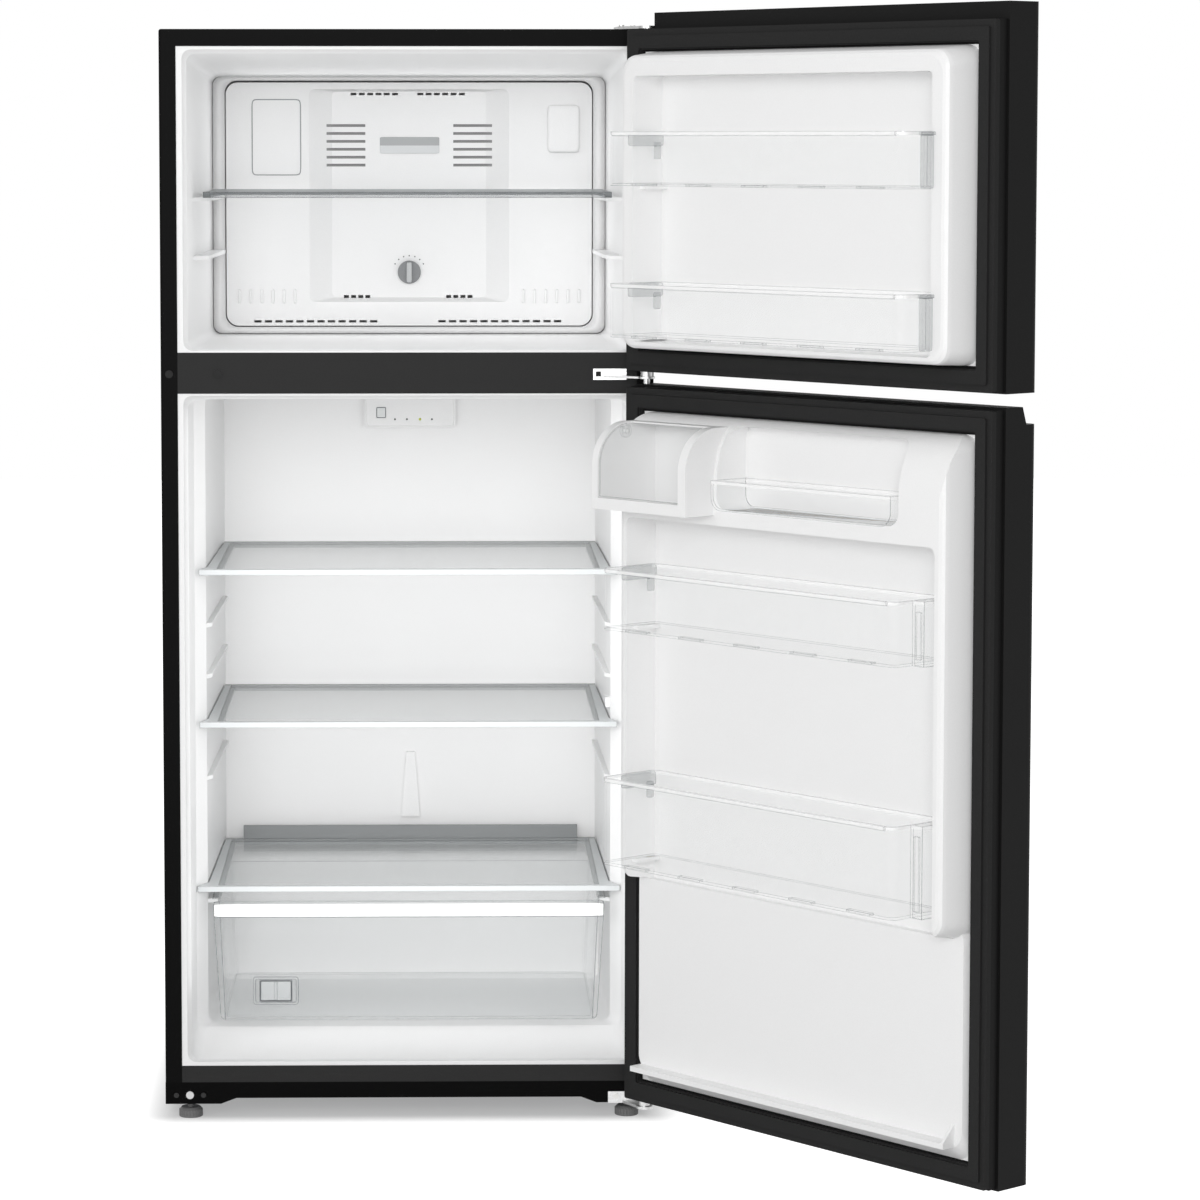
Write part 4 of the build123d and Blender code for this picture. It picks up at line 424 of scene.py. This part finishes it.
# The frames' trim is a satin grey moulding, darker towards the back and along its corners: painted shade.
trim_depths, trim_shade_tones = (0.13, 0.54, 0.56), ("#c9cccd", "#b0b4b5", "#77797a")
shelf_trim = finish("grey_shelf_trim", "#b4b8b9", 0.35)
grain(shelf_trim, size=0.0015, height=0.00002, spread=(0.3, 0.42))
trim_place = add(shelf_trim, "ShaderNodeTexCoord").outputs["Object"]
trim_y = add(shelf_trim, "ShaderNodeSeparateXYZ", {"Vector": trim_place}).outputs["Y"]
trim_ramp = add(shelf_trim, "ShaderNodeValToRGB", {"Fac": trim_y})
trim_ramp.color_ramp.elements.new(trim_depths[1])
for trim_stop, trim_depth, trim_tone in zip(trim_ramp.color_ramp.elements, trim_depths, trim_shade_tones):
    trim_stop.position, trim_stop.color = trim_depth, linear(trim_tone)
trim_shade_lines = {"Factor": edge_line(shelf_trim, radius=0.0018), first_tone: trim_ramp.outputs["Color"],
              second_tone: linear("#6d7071")}
trim_colour = add(shelf_trim, "ShaderNodeMix", trim_shade_lines, data_type="RGBA").outputs[mixed_tone]
feed(shelf_trim, Base_Color=trim_colour)
dress(shelf_trim, "upper_shelf_frame", "lower_shelf_frame", "crisper_cover_frame")


# Crisper drawer: clear polystyrene, injection moulded, that slides under the lowest shelf.
# A white band runs along the top of its front, and a small slide sets the humidity.
# Its corners carry dark lines of painted shade.
crisper_clear = clear("clear_crisper_polystyrene", "#c9cdce", square_on=0.04, along=0.3,
                      edge=0.9, line="#5c6062")
dress(crisper_clear, "crisper_drawer")
# The band is opaque white polystyrene, smooth and satin.
band_depth, band_z, band_half = 0.0008, 0.3085, (0.3065, 0.0012, 0.0098)
band_moulding = finish("white_crisper_band", "#f2f2f2", 0.35)
grain(band_moulding, size=0.0015, height=0.00001, low="#f0f0f0", high="#f4f4f4")
band_middle = (0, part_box("crisper_drawer")[0][1] + band_depth, band_z)
band = pillows([band_middle], band_half, square=0.08, steps=32)
grid_mesh("crisper_band", band, band_moulding, "crisper_drawer")
# The slide is pale and half clear, and round it a dark grey line of painted shade stands for the shade in its
# step.
slide_clear = clear("pale_clear_slide", "#d2d5d6", square_on=0.2, along=0.6)
dress(slide_clear, "humidity_slider")
outline_shade = finish("painted_step_shade", "#55585a", 0.5)
grain(outline_shade, size=0.001, height=0.000005, low="#505355", high="#5a5d5f")
outline_depth = 0.002
slide_middle = (-0.210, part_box("humidity_slider")[0][1] + outline_depth, 0.180)
slide_line = loop_bead(slide_middle, half_width=0.0245, half_height=0.0160, bead=0.0011, corner=0.1, count=96)
grid_mesh("slide_outline", slide_line, outline_shade, "humidity_slider")


# Control panel: a pale polycarbonate housing at the top of the fridge's back wall, with a push button.
# Four small light pipes stand in a row beside the button, one of them lit, and the lamp is inside.
panel_moulding = finish("pale_polycarbonate", "#ebebeb", 0.4)
grain(panel_moulding, size=0.0012, height=0.00002, low="#e9e9e9", high="#ededed")
dress(panel_moulding, "control_panel")
button_moulding = finish("light_grey_button", "#dcdede", 0.4)
grain(button_moulding, size=0.001, height=0.00002, low="#d8dada", high="#e0e2e2")
dress(button_moulding, "control_button")
panel_face = 0.584
border = loop_bead((0, panel_face, 1.0665), half_width=0.073, half_height=0.028, bead=0.001,
                   corner=0.12, count=96)
grid_mesh("panel_border", border, liner, "cabinet")
button_low, button_high = np.array(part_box("control_button"))
button_x, _, button_z = (button_low + button_high) / 2
# Round the button, a line of the same painted shade stands for the shade in its gap.
button_line = loop_bead((button_x, button_low[1], button_z), half_width=0.0074, half_height=0.0084,
                        bead=0.0005, corner=0.15)
grid_mesh("button_outline", button_line, outline_shade, "control_button")
# Light pipes are clear acrylic rods with domed ends: dark grey when off, and yellow green when lit.
dark_pipes_x, lit_pipe_x, pipes_z = np.array([-0.025, -0.005, 0.037]), np.array([0.017]), 1.0506
dark_pipe_radius, lit_pipe_radius = 0.0016, 0.0022
dark_pipe = finish("unlit_light_pipe", "#54585a", 0.3)
grain(dark_pipe, size=0.0008, height=0.000005, low="#505456", high="#585c5e")
dark_domes = pillows(points(dark_pipes_x, panel_face, pipes_z), dark_pipe_radius, square=1.0, steps=10)
grid_mesh("dark_lights", dark_domes, dark_pipe, "cabinet")
lit_pipe = finish("lit_light_pipe", "#c3cf4a", 0.3)
grain(lit_pipe, size=0.0008, height=0.000005, low="#bdc945", high="#c9d550")
lit_dome = pillows(points(lit_pipe_x, panel_face, pipes_z), lit_pipe_radius, square=1.0, steps=10)
grid_mesh("lit_light", lit_dome, lit_pipe, "cabinet")
# The lamp's lens is frosted and slightly warm.
lamp_lens = finish("frosted_lamp_lens", "#f4f4ec", 0.5)
grain(lamp_lens, size=0.001, height=0.00002, low="#f2f2ea", high="#f6f6ee")
dress(lamp_lens, "interior_lamp")


# Door skins: bent steel sheets with the cabinet's enamel, slightly greyer, closed by moulded caps.
# Seals of soft PVC lie on the folded edges behind the liners.
door_enamel = finish("door_enamel", "#161616", 0.5, Specular_IOR_Level=0.08)
grain(door_enamel, size=0.002, height=0.00002, low="#141414", high="#181818", spread=(0.45, 0.55))
dress(door_enamel, "freezer_door_skin", "fridge_door_skin")
# Moulded ABS, as dark as the enamel, with a finer texture.
cap_moulding = finish("black_abs", "#151515", 0.5, Specular_IOR_Level=0.08)
grain(cap_moulding, size=0.0012, height=0.00003, low="#131313", high="#171717", spread=(0.45, 0.55))
dress(cap_moulding, "freezer_door_caps", "fridge_door_caps")
# Extruded PVC is dull and dark grey.
seal = finish("soft_pvc_seal", "#262626", 0.7, Specular_IOR_Level=0.1)
grain(seal, size=0.002, height=0.00004, low="#242424", high="#282828")
dress(seal, "freezer_door_gasket", "fridge_door_gasket")


# Door storage: clear polystyrene bins and a tray with thick rims in a painted highlight, and the clear dairy
# cover.
# Each bin hangs in the door's recess by a grey-clear hook, and a freezer bin also has an end bracket.


def swung(closed):
    """Points of the closed door turned to the open one: by 130 degrees about its upright hinge line."""
    turn, hinge_x, hinge_y = math.radians(130), 0.365, -0.038
    x, y, z = np.moveaxis(closed, -1, 0)
    across, deep = x - hinge_x, y - hinge_y
    open_x = hinge_x + math.cos(turn) * across - math.sin(turn) * deep
    open_y = hinge_y + math.sin(turn) * across + math.cos(turn) * deep
    return points(open_x, open_y, z)


# The top rim_depth of each bin and of the tray is a painted highlight, bright and nearly solid.
rim_depth = 0.005
freezer_bins, fridge_bins = ("freezer_bin_upper", "freezer_bin_lower"), ("door_bin_upper", "door_bin_lower")
for bin_name in (*freezer_bins, *fridge_bins, "utility_tray"):
    rim_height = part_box(bin_name)[1][2] - rim_depth
    bin_clear = clear("clear_polystyrene_" + bin_name, "#e8ecec", square_on=0.0, along=0.08, rim=rim_height)
    dress(bin_clear, bin_name)
dairy_clear = clear("clear_dairy_polystyrene", "#dfe2e2", square_on=0.02, along=0.2)
dress(dairy_clear, "dairy_cover")
# Hooks and brackets are thicker mouldings of the same, so they look greyer.
bracket_clear = clear("grey_clear_bracket", "#a9adae", square_on=0.14, along=0.5, edge=0.8)
freezer_bin_half, fridge_bin_half, hook_inset = 0.302, 0.314, 0.007
arm_y, arm_drop, arm_half = 0.030, 0.011, (0.0035, 0.034, 0.0105)
catch_y, catch_drop, catch_half = 0.006, 0.028, (0.0035, 0.005, 0.0125)
for bin_name in (*freezer_bins, *fridge_bins):
    bin_half = freezer_bin_half if bin_name in freezer_bins else fridge_bin_half
    hook_x, bin_top = bin_half - hook_inset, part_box(bin_name)[1][2]
    hook_middles = [(hook_x, arm_y, bin_top - arm_drop), (hook_x, catch_y, bin_top - catch_drop)]
    hook = pillows(hook_middles, [arm_half, catch_half], square=0.2, steps=16)
    grid_mesh("hook_" + bin_name, swung(hook), bracket_clear, bin_name)
bracket_x = -0.306
front_post_y, back_post_y, post_width, post_depth, post_gap = 0.053, 0.066, 0.004, 0.0035, 0.001
cap_y, cap_drop, cap_half = 0.060, 0.003, (0.006, 0.012, 0.0025)
for bin_name in freezer_bins:
    bin_bottom, bin_top = (corner[2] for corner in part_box(bin_name))
    post_z = (bin_bottom + bin_top) / 2
    post_half = (post_width, post_depth, (bin_top - bin_bottom) / 2 - post_gap)
    bracket_y, bracket_z = [front_post_y, back_post_y, cap_y], [post_z, post_z, bin_top - cap_drop]
    bracket_middles = points(bracket_x, bracket_y, bracket_z)
    bracket = pillows(bracket_middles, [post_half, post_half, cap_half], square=0.2, steps=16)
    grid_mesh("bracket_" + bin_name, swung(bracket), bracket_clear, bin_name)


# Studio floor: a pale painted floor that keeps the shadow close under the cabinet.
# It is lifted to white for what the camera, mirrors and glass see, less and less towards the cabinet.
floor_half = 12.0
floor_corners = [(-floor_half, -floor_half, 0), (floor_half, -floor_half, 0), (floor_half, floor_half, 0),
                 (-floor_half, floor_half, 0)]
floor_mesh = bpy.data.meshes.new("studio_floor")
floor_mesh.from_pydata(floor_corners, [], [(0, 1, 2, 3)])
floor = bpy.data.objects.new("studio_floor", floor_mesh)
bpy.context.scene.collection.objects.link(floor)
white = (1, 1, 1, 1)
floor_paint = finish("white_studio_floor", "#d0d0d0", 0.8, Specular_IOR_Level=0.0, Emission_Color=white)
floor_mesh.materials.append(floor_paint)


def seen(owner):
    """1 for rays from the camera, a mirror or glass, and 0 for the others."""
    rays = add(owner, "ShaderNodeLightPath").outputs
    mirrored = {0: rays["Is Camera Ray"], 1: rays["Is Glossy Ray"]}
    mirrored = add(owner, "ShaderNodeMath", mirrored, operation="MAXIMUM").outputs["Value"]
    through = {0: mirrored, 1: rays["Is Transmission Ray"]}
    return add(owner, "ShaderNodeMath", through, operation="MAXIMUM").outputs["Value"]


# The lift grows with the distance from the cabinet's footprint: the length of what a point's offsets from
# its middle have beyond its half sizes.
footprint_middle, footprint_half = (0, 0.3425, 0), (0.36, 0.32, 0)
shadow_reach, shadow_lift = 0.09, 0.3
zero = (0, 0, 0)
floor_way = add(floor_paint, "ShaderNodeTexCoord").outputs["Object"]
for step, other in (
    ("SUBTRACT", footprint_middle),
    ("ABSOLUTE", zero),
    ("SUBTRACT", footprint_half),
    ("MAXIMUM", zero),
):
    both = {0: floor_way, 1: other}
    floor_way = add(floor_paint, "ShaderNodeVectorMath", both, operation=step).outputs["Vector"]
floor_way = add(floor_paint, "ShaderNodeVectorMath", {0: floor_way}, operation="LENGTH").outputs["Value"]
floor_span = {"Value": floor_way, "From Max": shadow_reach, "To Min": shadow_lift, "To Max": 1.0}
floor_far = add(floor_paint, "ShaderNodeMapRange", floor_span, interpolation_type="SMOOTHSTEP")
floor_both = {0: seen(floor_paint), 1: floor_far.outputs["Result"]}
floor_lift = add(floor_paint, "ShaderNodeMath", floor_both, operation="MULTIPLY")
feed(floor_paint, Emission_Strength=floor_lift.outputs["Value"])


# Surround: a plain studio backdrop all round.
# It is white to the camera, mirrors and glass, and gives the object a softer even light.
surround_light = 0.55
world = bpy.data.worlds.new("studio")
bpy.context.scene.world = world
world.use_nodes = True
world.node_tree.nodes.clear()
sky_span = {"Value": seen(world), "To Min": surround_light, "To Max": 1.0}
sky_level = add(world, "ShaderNodeMapRange", sky_span).outputs["Result"]
sky = add(world, "ShaderNodeBackground", {"Color": white, "Strength": sky_level})
add(world, "ShaderNodeOutputWorld", {"Surface": sky.outputs["Background"]})


# Lamps: two round softboxes in the studio, and the appliance's own lamps, which are on with its doors open.
# Those are soft even lights that fill each space from its mouth, and in the deep freezer also from the back.


def hang_lamp(name, shape, width, height, power, place, turn):
    """Area lamp of a shape, with its size in metres, its power in watts, its place and its turn."""
    lamp = bpy.data.lights.new(name, "AREA")
    lamp.shape, lamp.size, lamp.size_y, lamp.energy = shape, width, height, power
    holder = bpy.data.objects.new(name, lamp)
    bpy.context.scene.collection.objects.link(holder)
    holder.location, holder.rotation_euler = place, turn
    return holder


for name, place, aim, width, power in (
    ("front_softbox", (-0.3, -6.2, 2.1), (0, 0, 0.9), 3.0, 150),
    ("left_softbox", (-4.2, -3.6, 2.0), (0.5, -0.3, 0.9), 2.4, 40),
):
    toward_x, toward_y, toward_z = np.array(aim, float) - np.array(place, float)
    pitch = math.atan2(toward_z, math.hypot(toward_x, toward_y))
    turn = (math.pi / 2 + pitch, 0, -math.atan2(toward_x, toward_y))
    hang_lamp(name, "DISK", width, width, power, place, turn)
for name, y, facing, middle_z, width, height, power in (
    ("freezer_mouth_light", -0.004, 1, 1.42, 0.66, 0.44, 0.4),
    ("freezer_back_light", 0.490, -1, 1.42, 0.56, 0.34, 0.95),
    ("fridge_mouth_light", -0.004, 1, 0.65, 0.66, 0.9, 1.7),
):
    turn = (facing * math.pi / 2, 0, 0)
    holder = hang_lamp(name, "RECTANGLE", width, height, power, (0, y, middle_z), turn)
    holder.visible_camera = False
    holder.visible_glossy = False


# Camera: about six metres in front, level with the freezer, with a long lens.
# It is tipped slightly down and turned slightly to the right.
tip_down, turn_right = 0.0831, 0.0169
camera_data = bpy.data.cameras.new("camera")
camera_data.sensor_width = 36
camera_data.lens = 122.65
camera_data.shift_x, camera_data.shift_y = 0.08, -0.10
camera_data.clip_end = 100
camera = bpy.data.objects.new("camera", camera_data)
bpy.context.scene.collection.objects.link(camera)
camera.location = (0.0423, -6.2619, 1.5184)
camera.rotation_euler = (math.pi / 2 - tip_down, 0, -turn_right)
bpy.context.scene.camera = camera
bpy.context.scene.view_settings.view_transform = "Standard"
# A line of sight through the bins and the drawer crosses up to about forty clear surfaces.
bpy.context.scene.cycles.transparent_max_bounces = 48
